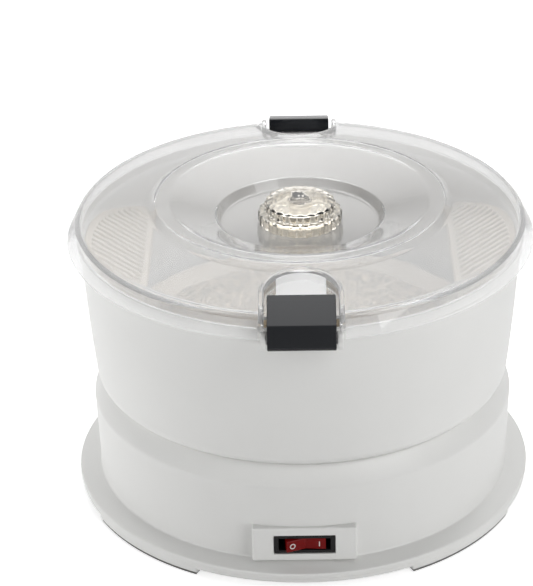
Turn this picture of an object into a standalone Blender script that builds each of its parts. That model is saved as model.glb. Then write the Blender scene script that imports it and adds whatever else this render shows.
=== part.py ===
"""Electric potato peeler: a motor base, a lift-off bowl with a turning disc, and a clear lid held by two latches.

Metres, +Z up. The origin is on the turning axis, on the table. The switch and the front latch face -Y.
"""

import math

import bmesh
import bpy
from mathutils import Matrix, Vector

# Facets of the turned shapes and steps of the small arcs
LARGE_FACETS = 32
MEDIUM_FACETS = 18
SMALL_FACETS = 10
SHAFT_FACETS = 9
LUG_ARC_STEPS = 4
BARREL_ARC_STEPS = 12
EAR_ARC_STEPS = 7
PAD_ARC_STEPS = 12
PAD_INNER_ARC_STEPS = 4
BELT_ARC_STEPS = 17
BELT_SMALL_ARC_STEPS = 6

# Clearances
GAP = 0.0003
CUT_OVERRUN = 0.002
JOIN_DEPTH = 0.001

# Bottom cover with its four arc feet and their rubber pads
PAD_THICKNESS = 0.0012
PAD_MARGIN = 0.0010
FOOT_HEIGHT = 0.0027
FOOT_WIDTH = 0.0110
FOOT_SPAN = math.radians(36)
FOOT_ARC_STEPS = 4
FOOT_ANGLES = [math.radians(45 + 90 * quarter) for quarter in range(4)]
COVER_THICKNESS = 0.0026
COVER_INSET = 0.0004
VENT_LENGTH = 0.030
VENT_WIDTH = 0.0030
VENT_PITCH = 0.0080
VENT_COUNT = 5

# Base housing. Its wall's top radius sets the size of the whole peeler
BASE_RADIUS = 0.1195
HOUSING_WALL = 0.0026
FLANGE_WIDTH = 0.0110
FLANGE_EDGE_HEIGHT = 0.0012
FLANGE_ROUND = 0.0014
FLANGE_RISE = 0.0016
WALL_TAPER = 0.0015
HOUSING_WALL_HEIGHT = 0.0502
SHOULDER_ROUND = 0.0012
SHOULDER_RISE = 0.0108
SHOULDER_WIDTH = 0.0083
DECK_INSET = 0.0112
DECK_DEPTH = 0.0041
WELL_RADIUS = 0.0165
WELL_DEPTH = 0.0142
WELL_BORE_RADIUS = 0.0080

# Screws that hold the cover, and their posts
POST_RADIUS = 0.0045
POST_INSET = 0.0180
POST_ANGLES = [math.radians(angle) for angle in (32, 148, 212, 328)]
SCREW_RADIUS = 0.0015
SCREW_LENGTH = 0.0140
SCREW_HEAD_RADIUS = 0.0030
SCREW_HEAD_HEIGHT = 0.0014
SCREW_BORE_CLEARANCE = 0.0003

# Switch panel, bezel and rocker on the front of the base
PANEL_WIDTH = 0.0566
PANEL_HEIGHT = 0.0206
PANEL_LOW = 0.0125
PANEL_PROUD = 0.0022
PANEL_ROUND = 0.0012
BEZEL_WIDTH = 0.0330
BEZEL_HEIGHT = 0.0112
BEZEL_LIP = 0.0012
BEZEL_WALL = 0.0012
BEZEL_DEPTH = 0.0140
BEZEL_RECESS = 0.0004
ROCKER_WIDTH = 0.0215
ROCKER_SIDE_CLEARANCE = 0.0007
ROCKER_THICKNESS = 0.0046
ROCKER_THROW = math.radians(18)
ROCKER_PIVOT_DEPTH = 0.0042

# Cord gland at the rear of the base, empty
GLAND_RADIUS = 0.0065
GLAND_FLANGE_RADIUS = 0.0090
GLAND_FLANGE = 0.0020
GLAND_BORE_RADIUS = 0.0036
GLAND_LENGTH = 0.0120
GLAND_HEIGHT = 0.0210

# Spindle with its bearings, pulley and coupling in the base
SHAFT_RADIUS = 0.0040
SHAFT_BORE_RADIUS = 0.0043
BUSH_RADIUS = 0.0067
BUSH_LENGTH = 0.0090
BEARING_TUBE_WALL = 0.0025
TUBE_PULLEY_CLEARANCE = 0.0024
SPINDLE_TAIL = 0.0022
PULLEY_HEIGHT = 0.0080
PULLEY_FLANGE = 0.0010
PULLEY_LIP = 0.0014
BELT_THICKNESS = 0.0015
DRIVEN_PULLEY_RADIUS = 0.0380
PULLEY_WEB = 0.0026
PULLEY_RIM_WALL = 0.0030
PULLEY_HUB_RADIUS = 0.0090
PULLEY_HOLE_RADIUS = 0.0070
PULLEY_HOLE_COUNT = 4
PULLEY_FLOOR_CLEARANCE = 0.0030
COUPLING_RADIUS = 0.0110
COUPLING_HUB_HEIGHT = 0.0040
COUPLING_LUG_HEIGHT = 0.0062
COUPLING_LUG_INNER_RADIUS = 0.0055
COUPLING_LUG_SPAN = math.radians(50)
COUPLING_LUG_COUNT = 3
COUPLING_END_CLEARANCE = 0.0006

# Motor, hung under the deck with its shaft down
MOTOR_OFFSET = 0.0640
MOTOR_RADIUS = 0.0260
MOTOR_HEIGHT = 0.0300
MOTOR_NOSE_RADIUS = 0.0075
MOTOR_NOSE_HEIGHT = 0.0025
MOTOR_ROUND = 0.0020
MOTOR_SHAFT_RADIUS = 0.0020
MOTOR_SHAFT_BORE_RADIUS = 0.0023
MOTOR_SHAFT_HIDDEN_LENGTH = 0.0150
MOTOR_PULLEY_RADIUS = 0.0070
MOTOR_PULLEY_COLLAR = 0.0010
BRACKET_THICKNESS = 0.0016
BRACKET_LENGTH = 0.0690
BRACKET_WIDTH = 0.0260
BRACKET_HOLE_RADIUS = 0.0080
BRACKET_BOSS_RADIUS = 0.0040
BRACKET_SCREW_LENGTH = 0.0050
BRACKET_BOSS_SPREAD = 0.0300
TERMINAL_LENGTH = 0.0260
TERMINAL_WIDTH = 0.0140
TERMINAL_HEIGHT = 0.0110
TERMINAL_INSET = 0.0360
TERMINAL_POLE_COUNT = 3
TERMINAL_POLE_RADIUS = 0.0022
TERMINAL_POLE_DEPTH = 0.0060

# Bowl
BOWL_WALL_STEPS = 2
BOWL_FOOT_STEPS = 3
BOWL_WALL = 0.0026
BOWL_OVERHANG = 0.0045
BOWL_RIM_BAND = 0.0055
BOWL_RIM_STEP = 0.0012
BOWL_RIM_PROUD = 0.0014
BOWL_TAPER = 0.0052
BOWL_HEIGHT = 0.0876
BOWL_FOOT_ROUND = 0.0080
BOWL_BULGE = 0.0006
BOWL_RING_WIDTH = 0.0026
BOWL_RING_CLEARANCE = 0.0008
HUB_WALL = 0.0036
HUB_BELOW = 0.0030
HUB_ABOVE = 0.0215
SEAL_HEIGHT = 0.0040
BOWL_BUSH_LENGTH = 0.0120
BOWL_BUSH_RADIUS = 0.0064

# Latches, their pins and the ears on the bowl
PIN_OUT = 0.0058
PIN_DROP = 0.0030
PIN_RADIUS = 0.0015
PIN_BORE_CLEARANCE = 0.0003
EAR_RADIUS = 0.0044
EAR_WIDTH = 0.0029
EAR_CLEARANCE = 0.0005
EAR_ROOT = 0.0010
LATCH_WIDTH = 0.0355
LATCH_BARREL_RADIUS = 0.0048
LATCH_THICKNESS = 0.0034
LATCH_CREASE_RISE = 0.0113
LATCH_CREASE_OUT = 0.0038
LATCH_REACH = 0.0173
LATCH_RISE = 0.0182
LATCH_ROUND = 0.0007
HOOK_CLEARANCE = 0.0004
HOOK_THICKNESS = 0.0030

# Rasp panels inside the bowl
RASP_TOP_DROP = 0.0060
RASP_DEPTH = 0.0340
RASP_SLOPE = math.radians(33.7)
RASP_FOOT_RISE = 0.0290
RASP_WALL = 0.0024
RASP_NOSE_HEIGHT = 0.0060
RASP_RIB_PITCH = 0.0055
RASP_RIB_WIDTH = 0.0020
RASP_RIB_HEIGHT = 0.0010
RASP_RIB_COUNT = 25
RASP_RIB_MARGIN = 0.0050

# Peeling disc, its ridges, pads, shaft and lower coupling
DISC_FLOOR_CLEARANCE = 0.0080
DISC_THICKNESS = 0.0030
DISC_SIDE_CLEARANCE = 0.0083
DISC_RIM_WIDTH = 0.0120
DISC_RIM_RISE = 0.0055
DISC_HUB_RADIUS = 0.0160
DISC_HUB_WALL = 0.0036
DISC_HUB_TOP = 0.0060
DISC_HUB_ROUND = 0.0040
DISC_HUB_CLEARANCE = 0.0022
RIDGE_COUNT = 3
RIDGE_HALF_WIDTH = 0.0090
RIDGE_HEIGHT = 0.0045
RIDGE_START = 0.0240
ABRASIVE_THICKNESS = 0.0009
ABRASIVE_MARGIN = 0.0014
DISC_SHAFT_SEAT = 0.0035

# Lid
LID_WALL = 0.0022
LID_FLOOR_RISE = 0.0025
LID_FLOOR_RADIUS = 0.0440
LID_WELL_LEAN = 0.0026
LID_WELL_RISE = 0.0055
LID_CONE_WIDTH = 0.0238
LID_CONE_RISE = 0.0100
LID_BROW_WIDTH = 0.0021
LID_PLATEAU_WIDTH = 0.0080
LID_PLATEAU_STEP = 0.0030
LID_STEP_WIDTH = 0.0040
LID_EDGE_INSET = 0.0015
LID_EDGE_DROP = 0.0055
LID_ROUND = 0.0024
SKIRT_FLARE = 0.0051
SKIRT_HEIGHT = 0.0126
SEAT_RING_WIDTH = 0.0016
KNOB_HOLE_CLEARANCE = 0.0005
POCKET_SIDE_CLEARANCE = 0.00165
POCKET_WALL = 0.0028
POCKET_SETBACK = 0.0233
POCKET_ARCH_STEPS = 9
POCKET_LIP_RISE = 0.0024
POCKET_DEPTH = 0.0046
POCKET_FLOOR = 0.0020
POCKET_END_SETBACK = 0.0056
LEDGE_MARGIN = 0.0005

# Knob on the lid
KNOB_LOW_RADIUS = 0.0234
KNOB_LOW_HEIGHT = 0.0066
KNOB_HIGH_RADIUS = 0.0196
KNOB_HIGH_HEIGHT = 0.0056
KNOB_TOP_RADIUS = 0.0157
KNOB_TOP_ROUND = 0.0013
KNOB_FLUTE_COUNT = 22
KNOB_FLUTE_DEPTH = 0.0009
KNOB_STEM_RADIUS = 0.0055
KNOB_STEM_LENGTH = 0.0085
WASHER_RADIUS = 0.0110
WASHER_THICKNESS = 0.0010
NUT_WIDTH = 0.0170
NUT_HEIGHT = 0.0044
NUT_CLEARANCE = 0.0003

# Radii and distances from the main axis, worked out from the sizes
WALL_LOW_RADIUS = BASE_RADIUS - WALL_TAPER
FLANGE_RADIUS = BASE_RADIUS + FLANGE_WIDTH
RIM_RADIUS = BASE_RADIUS - SHOULDER_WIDTH
DECK_RADIUS = RIM_RADIUS - DECK_INSET
POST_CIRCLE_RADIUS = WALL_LOW_RADIUS - POST_INSET
TERMINAL_OFFSET = WALL_LOW_RADIUS - TERMINAL_INSET
BOWL_RIM_RADIUS = BASE_RADIUS + BOWL_OVERHANG
BOWL_TOP_RADIUS = BOWL_RIM_RADIUS - BOWL_RIM_PROUD
BOWL_LOW_RADIUS = BOWL_TOP_RADIUS - BOWL_TAPER
RASP_NOSE = BOWL_TOP_RADIUS - BOWL_WALL - RASP_DEPTH
DISC_RADIUS = BOWL_LOW_RADIUS - BOWL_WALL - DISC_SIDE_CLEARANCE
LID_WELL_RADIUS = LID_FLOOR_RADIUS + LID_WELL_LEAN
LID_CONE_RADIUS = LID_WELL_RADIUS + LID_CONE_WIDTH
LID_PLATEAU_START = LID_CONE_RADIUS + LID_BROW_WIDTH
LID_PLATEAU_RADIUS = LID_PLATEAU_START + LID_PLATEAU_WIDTH
LID_EDGE_RADIUS = BOWL_RIM_RADIUS - LID_EDGE_INSET
SKIRT_TOP_RADIUS = LID_EDGE_RADIUS + LID_ROUND
SKIRT_RADIUS = SKIRT_TOP_RADIUS + SKIRT_FLARE
PIN_DISTANCE = BOWL_RIM_RADIUS + PIN_OUT
LATCH_HALF_WIDTH = LATCH_WIDTH / 2
EAR_INNER = LATCH_HALF_WIDTH + EAR_CLEARANCE
POCKET_INNER_HALF_WIDTH = LATCH_HALF_WIDTH + POCKET_SIDE_CLEARANCE
POCKET_HALF_WIDTH = POCKET_INNER_HALF_WIDTH + POCKET_WALL
POCKET_DISTANCE = PIN_DISTANCE - POCKET_SETBACK
POCKET_OUTER_END = PIN_DISTANCE - POCKET_END_SETBACK
LEDGE_END = PIN_DISTANCE - LATCH_REACH + HOOK_THICKNESS + LEDGE_MARGIN
SKIRT_GAP_HALF_WIDTH = EAR_INNER + EAR_WIDTH + POCKET_SIDE_CLEARANCE

# Levels above the table, worked out from the sizes
FOOT_LOW = PAD_THICKNESS + GAP
COVER_LOW = FOOT_LOW + FOOT_HEIGHT
COVER_TOP = COVER_LOW + COVER_THICKNESS
HOUSING_LOW = COVER_TOP + GAP
SHOULDER_LEVEL = HOUSING_LOW + HOUSING_WALL_HEIGHT
RIM_LEVEL = SHOULDER_LEVEL + SHOULDER_RISE
DECK_LEVEL = RIM_LEVEL - DECK_DEPTH
DECK_UNDERSIDE = DECK_LEVEL - HOUSING_WALL
WELL_LEVEL = DECK_LEVEL - WELL_DEPTH
PULLEY_LOW = COVER_TOP + PULLEY_FLOOR_CLEARANCE
PULLEY_TOP = PULLEY_LOW + PULLEY_HEIGHT
TUBE_LOW = PULLEY_TOP + TUBE_PULLEY_CLEARANCE
BOWL_LOW = RIM_LEVEL + GAP
BOWL_FLOOR = BOWL_LOW + BOWL_WALL
BOWL_RIM = BOWL_LOW + BOWL_HEIGHT
PIN_LEVEL = BOWL_RIM - PIN_DROP
HUB_LOW = BOWL_LOW - HUB_BELOW
HUB_TOP = BOWL_LOW + HUB_ABOVE
HUB_BORE_RADIUS = BOWL_BUSH_RADIUS + GAP
HUB_RADIUS = HUB_BORE_RADIUS + HUB_WALL
BASE_COUPLING_LOW = WELL_LEVEL + COUPLING_END_CLEARANCE
BASE_COUPLING_HUB_TOP = BASE_COUPLING_LOW + COUPLING_HUB_HEIGHT
BOWL_COUPLING_TOP = HUB_LOW - GAP
BOWL_COUPLING_HUB_LOW = BOWL_COUPLING_TOP - COUPLING_HUB_HEIGHT
DISC_LOW = BOWL_FLOOR + DISC_FLOOR_CLEARANCE
DISC_TOP = DISC_LOW + DISC_THICKNESS
DISC_HUB_CEILING = HUB_TOP + DISC_HUB_CLEARANCE
LID_FLOOR = BOWL_RIM + LID_FLOOR_RISE
LID_CONE_LOW = LID_FLOOR + LID_WELL_RISE
LID_TOP = LID_CONE_LOW + LID_CONE_RISE
LID_STEP_LEVEL = LID_TOP - LID_PLATEAU_STEP
LID_EDGE_LEVEL = LID_STEP_LEVEL - LID_EDGE_DROP
SKIRT_TOP = LID_EDGE_LEVEL - LID_ROUND
SKIRT_LOW = LID_EDGE_LEVEL - SKIRT_HEIGHT
KNOB_LOW = LID_FLOOR + GAP


def clear_scene():
    for item in list(bpy.data.objects):
        bpy.data.objects.remove(item, do_unlink=True)


def new_collection(name, hidden=False):
    collection = bpy.data.collections.new(name)
    bpy.context.scene.collection.children.link(collection)
    collection.hide_render = hidden
    return collection


clear_scene()
PARTS = new_collection("potato_peeler")
CUTTERS = new_collection("cutters", hidden=True)


def finish(name, color, roughness, metallic=0.0, transmission=0.0):
    material = bpy.data.materials.new(name)
    material.use_nodes = True
    shader = material.node_tree.nodes["Principled BSDF"]
    shader.inputs["Base Color"].default_value = (*color, 1.0)
    shader.inputs["Roughness"].default_value = roughness
    shader.inputs["Metallic"].default_value = metallic
    shader.inputs["Transmission Weight"].default_value = transmission
    return material


def station(name, place, parent=None):
    """An empty on a joint's axis, which carries the pieces that move there."""
    empty = bpy.data.objects.new(name, None)
    PARTS.objects.link(empty)
    empty.location = place
    if parent:
        empty.parent = parent
        empty.location = Vector(place) - world_place(parent)
    return empty


def world_place(item):
    place = item.location.copy()
    while item.parent:
        item = item.parent
        place += item.location
    return place


def as_part(item, parent, material):
    """Takes a shape modelled in world coordinates and hangs it on its station."""
    CUTTERS.objects.unlink(item)
    PARTS.objects.link(item)
    item.hide_render = False
    item.display_type = "TEXTURED"
    item.data.materials.clear()
    item.data.materials.append(material)
    if parent:
        item.parent = parent
        item.location = item.location - world_place(parent)
    item.data.shade_smooth()
    item.data.set_sharp_from_angle(angle=math.radians(35))
    return item


def shape(name, mesh):
    item = bpy.data.objects.new(name, mesh)
    CUTTERS.objects.link(item)
    item.hide_render = True
    item.display_type = "WIRE"
    return item


def turned(name, profile, facets=LARGE_FACETS, closed=False, wall=0):
    """A Screw about Z of (radius, height) points that run down the outer side. A wall makes an open one a shell."""
    mesh = bpy.data.meshes.new(name)
    points = [(radius, 0, height) for radius, height in profile]
    edges = [(i, i + 1) for i in range(len(points) - 1)]
    if closed:
        edges.append((len(points) - 1, 0))
    mesh.from_pydata(points, edges, [])
    item = shape(name, mesh)
    screw = item.modifiers.new("turn", "SCREW")
    screw.axis = "Z"
    screw.angle = math.tau
    screw.steps = facets
    screw.render_steps = facets
    screw.use_merge_vertices = True
    screw.merge_threshold = GAP / 30
    if wall:
        shell = item.modifiers.new("wall", "SOLIDIFY")
        shell.thickness = wall
        shell.offset = -1
        shell.use_even_offset = True
        shell.use_quality_normals = True
    return item


def ring(name, inner, outer, low, top, facets=MEDIUM_FACETS):
    profile = [(outer, top), (outer, low), (inner, low), (inner, top)]
    return turned(name, profile, facets, closed=True)


def joined_ring(name, inner, outer, low, top, facets=MEDIUM_FACETS):
    """A ring that grows out of a turned shell. It is turned by half a facet, so that no edges of the two meet."""
    part = ring(name, inner, outer, low, top, facets)
    part.rotation_euler.z = math.pi / facets
    return part


def rod(name, radius, low, top, facets=SMALL_FACETS, place=(0, 0)):
    mesh = bpy.data.meshes.new(name)
    body = bmesh.new()
    bmesh.ops.create_cone(
        body, cap_ends=True, segments=facets, radius1=radius, radius2=radius, depth=top - low
    )
    body.to_mesh(mesh)
    body.free()
    item = shape(name, mesh)
    item.location = (place[0], place[1], (low + top) / 2)
    return item


def block(name, low, high):
    mesh = bpy.data.meshes.new(name)
    body = bmesh.new()
    bmesh.ops.create_cube(body, size=1)
    bmesh.ops.scale(body, vec=Vector(high) - Vector(low), verts=body.verts)
    body.to_mesh(mesh)
    body.free()
    item = shape(name, mesh)
    item.location = (Vector(high) + Vector(low)) / 2
    return item


def plate(name, outline, low, top, turn=None):
    """A flat outline, as a filled 2D curve with thickness along Z, made a mesh and turned into its place."""
    curve = bpy.data.curves.new(name, "CURVE")
    curve.dimensions = "2D"
    curve.fill_mode = "BOTH"
    curve.extrude = (top - low) / 2
    spline = curve.splines.new("POLY")
    spline.points.add(len(outline) - 1)
    for point, (x, y) in zip(spline.points, outline):
        point.co = (x, y, 0, 1)
    spline.use_cyclic_u = True
    flat = bpy.data.objects.new(name, curve)
    CUTTERS.objects.link(flat)
    bpy.context.view_layer.update()
    graph = bpy.context.evaluated_depsgraph_get()
    mesh = bpy.data.meshes.new_from_object(flat.evaluated_get(graph))
    bpy.data.objects.remove(flat, do_unlink=True)
    body = bmesh.new()
    body.from_mesh(mesh)
    bmesh.ops.remove_doubles(body, verts=body.verts, dist=GAP / 30)
    bmesh.ops.dissolve_limit(body, angle_limit=math.radians(1), verts=body.verts, edges=body.edges)
    bmesh.ops.translate(body, vec=(0, 0, (low + top) / 2), verts=body.verts)
    if turn is not None:
        bmesh.ops.transform(body, matrix=turn, verts=body.verts)
    bmesh.ops.recalc_face_normals(body, faces=body.faces)
    body.to_mesh(mesh)
    body.free()
    return shape(name, mesh)


def boolean(item, other, operation):
    modifier = item.modifiers.new(operation.lower(), "BOOLEAN")
    modifier.operation = operation
    modifier.object = other
    modifier.solver = "EXACT"
    return item


def cut(item, *others):
    for other in others:
        boolean(item, other, "DIFFERENCE")
    return item


def join(item, *others):
    for other in others:
        boolean(item, other, "UNION")
    return item


def rounded(item, width, segments=2, angle=40):
    bevel = item.modifiers.new("round", "BEVEL")
    bevel.width = width
    bevel.segments = segments
    bevel.limit_method = "ANGLE"
    bevel.angle_limit = math.radians(angle)
    return item


def copy_turned(item, name, angle):
    """A copy of a finished shape, cuts and all, turned about the main axis."""
    bpy.context.view_layer.update()
    graph = bpy.context.evaluated_depsgraph_get()
    mesh = bpy.data.meshes.new_from_object(item.evaluated_get(graph))
    mesh.transform(Matrix.Rotation(angle, 4, "Z") @ item.matrix_basis)
    return shape(name, mesh)


def on_circle(radius, angle):
    return (radius * math.cos(angle), radius * math.sin(angle))


def arc(radius, start, end, count):
    return [on_circle(radius, start + (end - start) * i / count) for i in range(count + 1)]


def sector(inner, outer, middle, span, count):
    """The outline of a piece of a flat ring."""
    low = middle - span / 2
    high = middle + span / 2
    return arc(outer, low, high, count) + arc(inner, high, low, count)


# Each outline of a latch or an ear is drawn as (outwards, up) and stands across the front
UPRIGHT = Matrix(((0, 0, 1, 0), (-1, 0, 0, 0), (0, 1, 0, 0), (0, 0, 0, 1)))

WHITE = finish("white_plastic", (0.78, 0.78, 0.76), 0.32)
INNER_WHITE = finish("inner_white_plastic", (0.80, 0.79, 0.76), 0.40)
CLEAR = finish("clear_lid_plastic", (0.92, 0.92, 0.92), 0.04, transmission=0.9)
DARK = finish("dark_grey_plastic", (0.035, 0.037, 0.042), 0.30)
BLACK = finish("black_plastic", (0.012, 0.012, 0.012), 0.45)
RED = finish("red_rocker_plastic", (0.60, 0.01, 0.01), 0.25)
RUBBER = finish("grey_rubber", (0.10, 0.10, 0.10), 0.80)
STEEL = finish("turned_steel", (0.60, 0.60, 0.62), 0.30, metallic=1.0)
BRONZE = finish("sintered_bronze", (0.45, 0.30, 0.14), 0.50, metallic=1.0)
ZINC = finish("zinc_plated_sheet", (0.55, 0.55, 0.54), 0.40, metallic=1.0)
GRIT = finish("abrasive_grit", (0.33, 0.27, 0.20), 0.90)

base_station = station("base_station", (0, 0, 0))
bowl_station = station("bowl_station", (0, 0, BOWL_LOW), base_station)
disc_station = station("disc_station", (0, 0, DISC_LOW), bowl_station)
lid_station = station("lid_station", (0, 0, BOWL_RIM), bowl_station)
knob_station = station("knob_station", (0, 0, KNOB_LOW), lid_station)
spindle_station = station("spindle_station", (0, 0, PULLEY_LOW), base_station)
motor_station = station("motor_station", (MOTOR_OFFSET, 0, PULLEY_LOW), base_station)


def cover_screw_places():
    return [on_circle(POST_CIRCLE_RADIUS, angle) for angle in POST_ANGLES]


def bottom_cover():
    """A flat disc under the base with four arc feet, screw holes and vent slots below the motor."""
    radius = FLANGE_RADIUS - COVER_INSET
    cover = rod("bottom_cover", radius, COVER_LOW, COVER_TOP, LARGE_FACETS)
    for number, angle in enumerate(FOOT_ANGLES):
        outline = sector(radius - FOOT_WIDTH, radius - GAP, angle, FOOT_SPAN, FOOT_ARC_STEPS)
        foot = plate(f"foot_{number}", outline, FOOT_LOW, COVER_LOW + JOIN_DEPTH)
        join(cover, foot)
    for number, place in enumerate(cover_screw_places()):
        bore = SCREW_RADIUS + SCREW_BORE_CLEARANCE
        cut(cover, rod(f"cover_hole_{number}", bore, FOOT_LOW, COVER_TOP + CUT_OVERRUN, place=place))
        sink = SCREW_HEAD_RADIUS + SCREW_BORE_CLEARANCE
        sink_top = COVER_LOW + SCREW_HEAD_HEIGHT
        cut(cover, rod(f"cover_sink_{number}", sink, FOOT_LOW, sink_top, place=place))
    for number in range(VENT_COUNT):
        y = VENT_PITCH * (number - (VENT_COUNT - 1) / 2)
        low = (MOTOR_OFFSET - VENT_LENGTH / 2, y - VENT_WIDTH / 2, COVER_LOW - CUT_OVERRUN)
        high = (MOTOR_OFFSET + VENT_LENGTH / 2, y + VENT_WIDTH / 2, COVER_TOP + CUT_OVERRUN)
        cut(cover, block(f"vent_{number}", low, high))
    as_part(cover, base_station, WHITE)


def foot_pads():
    outer = FLANGE_RADIUS - COVER_INSET - PAD_MARGIN
    inner = FLANGE_RADIUS - COVER_INSET - FOOT_WIDTH + PAD_MARGIN
    names = ("rear_right", "rear_left", "front_left", "front_right")
    for name, angle in zip(names, FOOT_ANGLES):
        span = FOOT_SPAN - 2 * PAD_MARGIN / outer
        pad = plate(f"foot_pad_{name}", sector(inner, outer, angle, span, FOOT_ARC_STEPS), 0, PAD_THICKNESS)
        as_part(pad, base_station, RUBBER)


def cover_screws():
    """Four pan-head screws from below, into the posts of the housing."""
    for number, place in enumerate(cover_screw_places(), start=1):
        head_top = COVER_LOW + SCREW_HEAD_HEIGHT - GAP
        shank_low = head_top - SCREW_HEAD_HEIGHT / 2
        screw = rod(f"cover_screw_{number}", SCREW_HEAD_RADIUS, COVER_LOW, head_top, place=place)
        join(screw, rod(f"shank_{number}", SCREW_RADIUS, shank_low, COVER_LOW + SCREW_LENGTH, place=place))
        as_part(screw, base_station, ZINC)


def housing_profile():
    """The outer surface from the well's middle, over the deck and down the wall to the flange's edge."""
    flange_top = HOUSING_LOW + FLANGE_EDGE_HEIGHT + FLANGE_ROUND
    wall_foot = flange_top + FLANGE_RISE
    return [
        (WELL_BORE_RADIUS, WELL_LEVEL),
        (WELL_RADIUS, WELL_LEVEL),
        (WELL_RADIUS, DECK_LEVEL),
        (DECK_RADIUS, DECK_LEVEL),
        (DECK_RADIUS + DECK_DEPTH, RIM_LEVEL),
        (RIM_RADIUS, RIM_LEVEL),
        (BASE_RADIUS - SHOULDER_ROUND, SHOULDER_LEVEL + SHOULDER_ROUND),
        (BASE_RADIUS, SHOULDER_LEVEL - SHOULDER_ROUND),
        (WALL_LOW_RADIUS, wall_foot),
        (FLANGE_RADIUS - FLANGE_ROUND, flange_top),
        (FLANGE_RADIUS, flange_top - FLANGE_ROUND),
        (FLANGE_RADIUS, HOUSING_LOW),
    ]


def switch_place():
    """The middle of the switch panel's face: (y, z)."""
    return (-(BASE_RADIUS + WALL_LOW_RADIUS) / 2 - PANEL_PROUD, PANEL_LOW + PANEL_HEIGHT / 2)


def base_housing():
    housing = turned("base_housing", housing_profile(), wall=HOUSING_WALL)
    tube_outer = BUSH_RADIUS + GAP + BEARING_TUBE_WALL
    tube = joined_ring("bearing_tube", BUSH_RADIUS + GAP, tube_outer, TUBE_LOW, WELL_LEVEL - JOIN_DEPTH)
    join(housing, tube)
    for number, place in enumerate(cover_screw_places()):
        top = DECK_UNDERSIDE + JOIN_DEPTH
        join(housing, rod(f"post_{number}", POST_RADIUS, HOUSING_LOW, top, place=place))
    for number, place in enumerate(bracket_screw_places()):
        low = bracket_top() + GAP
        boss_top = DECK_UNDERSIDE + JOIN_DEPTH
        join(housing, rod(f"bracket_boss_{number}", BRACKET_BOSS_RADIUS, low, boss_top, place=place))
        bore = SCREW_RADIUS + SCREW_BORE_CLEARANCE
        bore_top = bracket_screw_top() + GAP
        cut(housing, rod(f"boss_bore_{number}", bore, low - CUT_OVERRUN, bore_top, place=place))
    face_y, face_z = switch_place()
    panel_back = -WALL_LOW_RADIUS * math.cos(math.asin(PANEL_WIDTH / 2 / WALL_LOW_RADIUS)) + HOUSING_WALL
    panel = block(
        "switch_panel",
        (-PANEL_WIDTH / 2, face_y, PANEL_LOW),
        (PANEL_WIDTH / 2, panel_back, PANEL_LOW + PANEL_HEIGHT),
    )
    rounded(panel, PANEL_ROUND)
    join(housing, panel)
    hole_x = BEZEL_WIDTH / 2 - BEZEL_LIP
    hole_z = BEZEL_HEIGHT / 2 - BEZEL_LIP
    cut(housing, block(
        "switch_recess",
        (-BEZEL_WIDTH / 2 - GAP, face_y - CUT_OVERRUN, face_z - BEZEL_HEIGHT / 2 - GAP),
        (BEZEL_WIDTH / 2 + GAP, face_y + BEZEL_RECESS + BEZEL_LIP + GAP, face_z + BEZEL_HEIGHT / 2 + GAP),
    ))
    cut(housing, block(
        "switch_hole",
        (-hole_x - GAP, face_y - CUT_OVERRUN, face_z - hole_z - GAP),
        (hole_x + GAP, face_y + BEZEL_DEPTH + CUT_OVERRUN, face_z + hole_z + GAP),
    ))
    for number, place in enumerate(cover_screw_places()):
        bore = SCREW_RADIUS + SCREW_BORE_CLEARANCE
        top = COVER_LOW + SCREW_LENGTH + CUT_OVERRUN
        cut(housing, rod(f"post_bore_{number}", bore, COVER_LOW, top, place=place))
    cut(housing, gland_shape("gland_hole", GLAND_RADIUS + GAP, -GLAND_LENGTH, CUT_OVERRUN))
    as_part(housing, base_station, WHITE)


def gland_shape(name, radius, start, end, facets=SMALL_FACETS):
    """A cylinder along Y at the gland, from one distance to another out of the rear wall."""
    along = rod(name, radius, start, end, facets)
    body = bmesh.new()
    body.from_mesh(along.data)
    bmesh.ops.translate(body, vec=(0, 0, (start + end) / 2), verts=body.verts)
    bmesh.ops.rotate(body, cent=(0, 0, 0), matrix=Matrix.Rotation(math.radians(-90), 3, "X"), verts=body.verts)
    body.to_mesh(along.data)
    body.free()
    along.location = (0, BASE_RADIUS, GLAND_HEIGHT)
    return along


def cord_gland():
    """A flanged sleeve in the rear wall. Its bore is empty."""
    gland = gland_shape("cord_gland", GLAND_FLANGE_RADIUS, GAP, GAP + GLAND_FLANGE)
    body_end = GAP + GLAND_FLANGE / 2
    join(gland, gland_shape("gland_sleeve", GLAND_RADIUS, -GLAND_LENGTH + GLAND_FLANGE, body_end))
    bore_end = GAP + GLAND_FLANGE + CUT_OVERRUN
    cut(gland, gland_shape("gland_bore", GLAND_BORE_RADIUS, -GLAND_LENGTH, bore_end))
    as_part(gland, base_station, BLACK)


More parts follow.
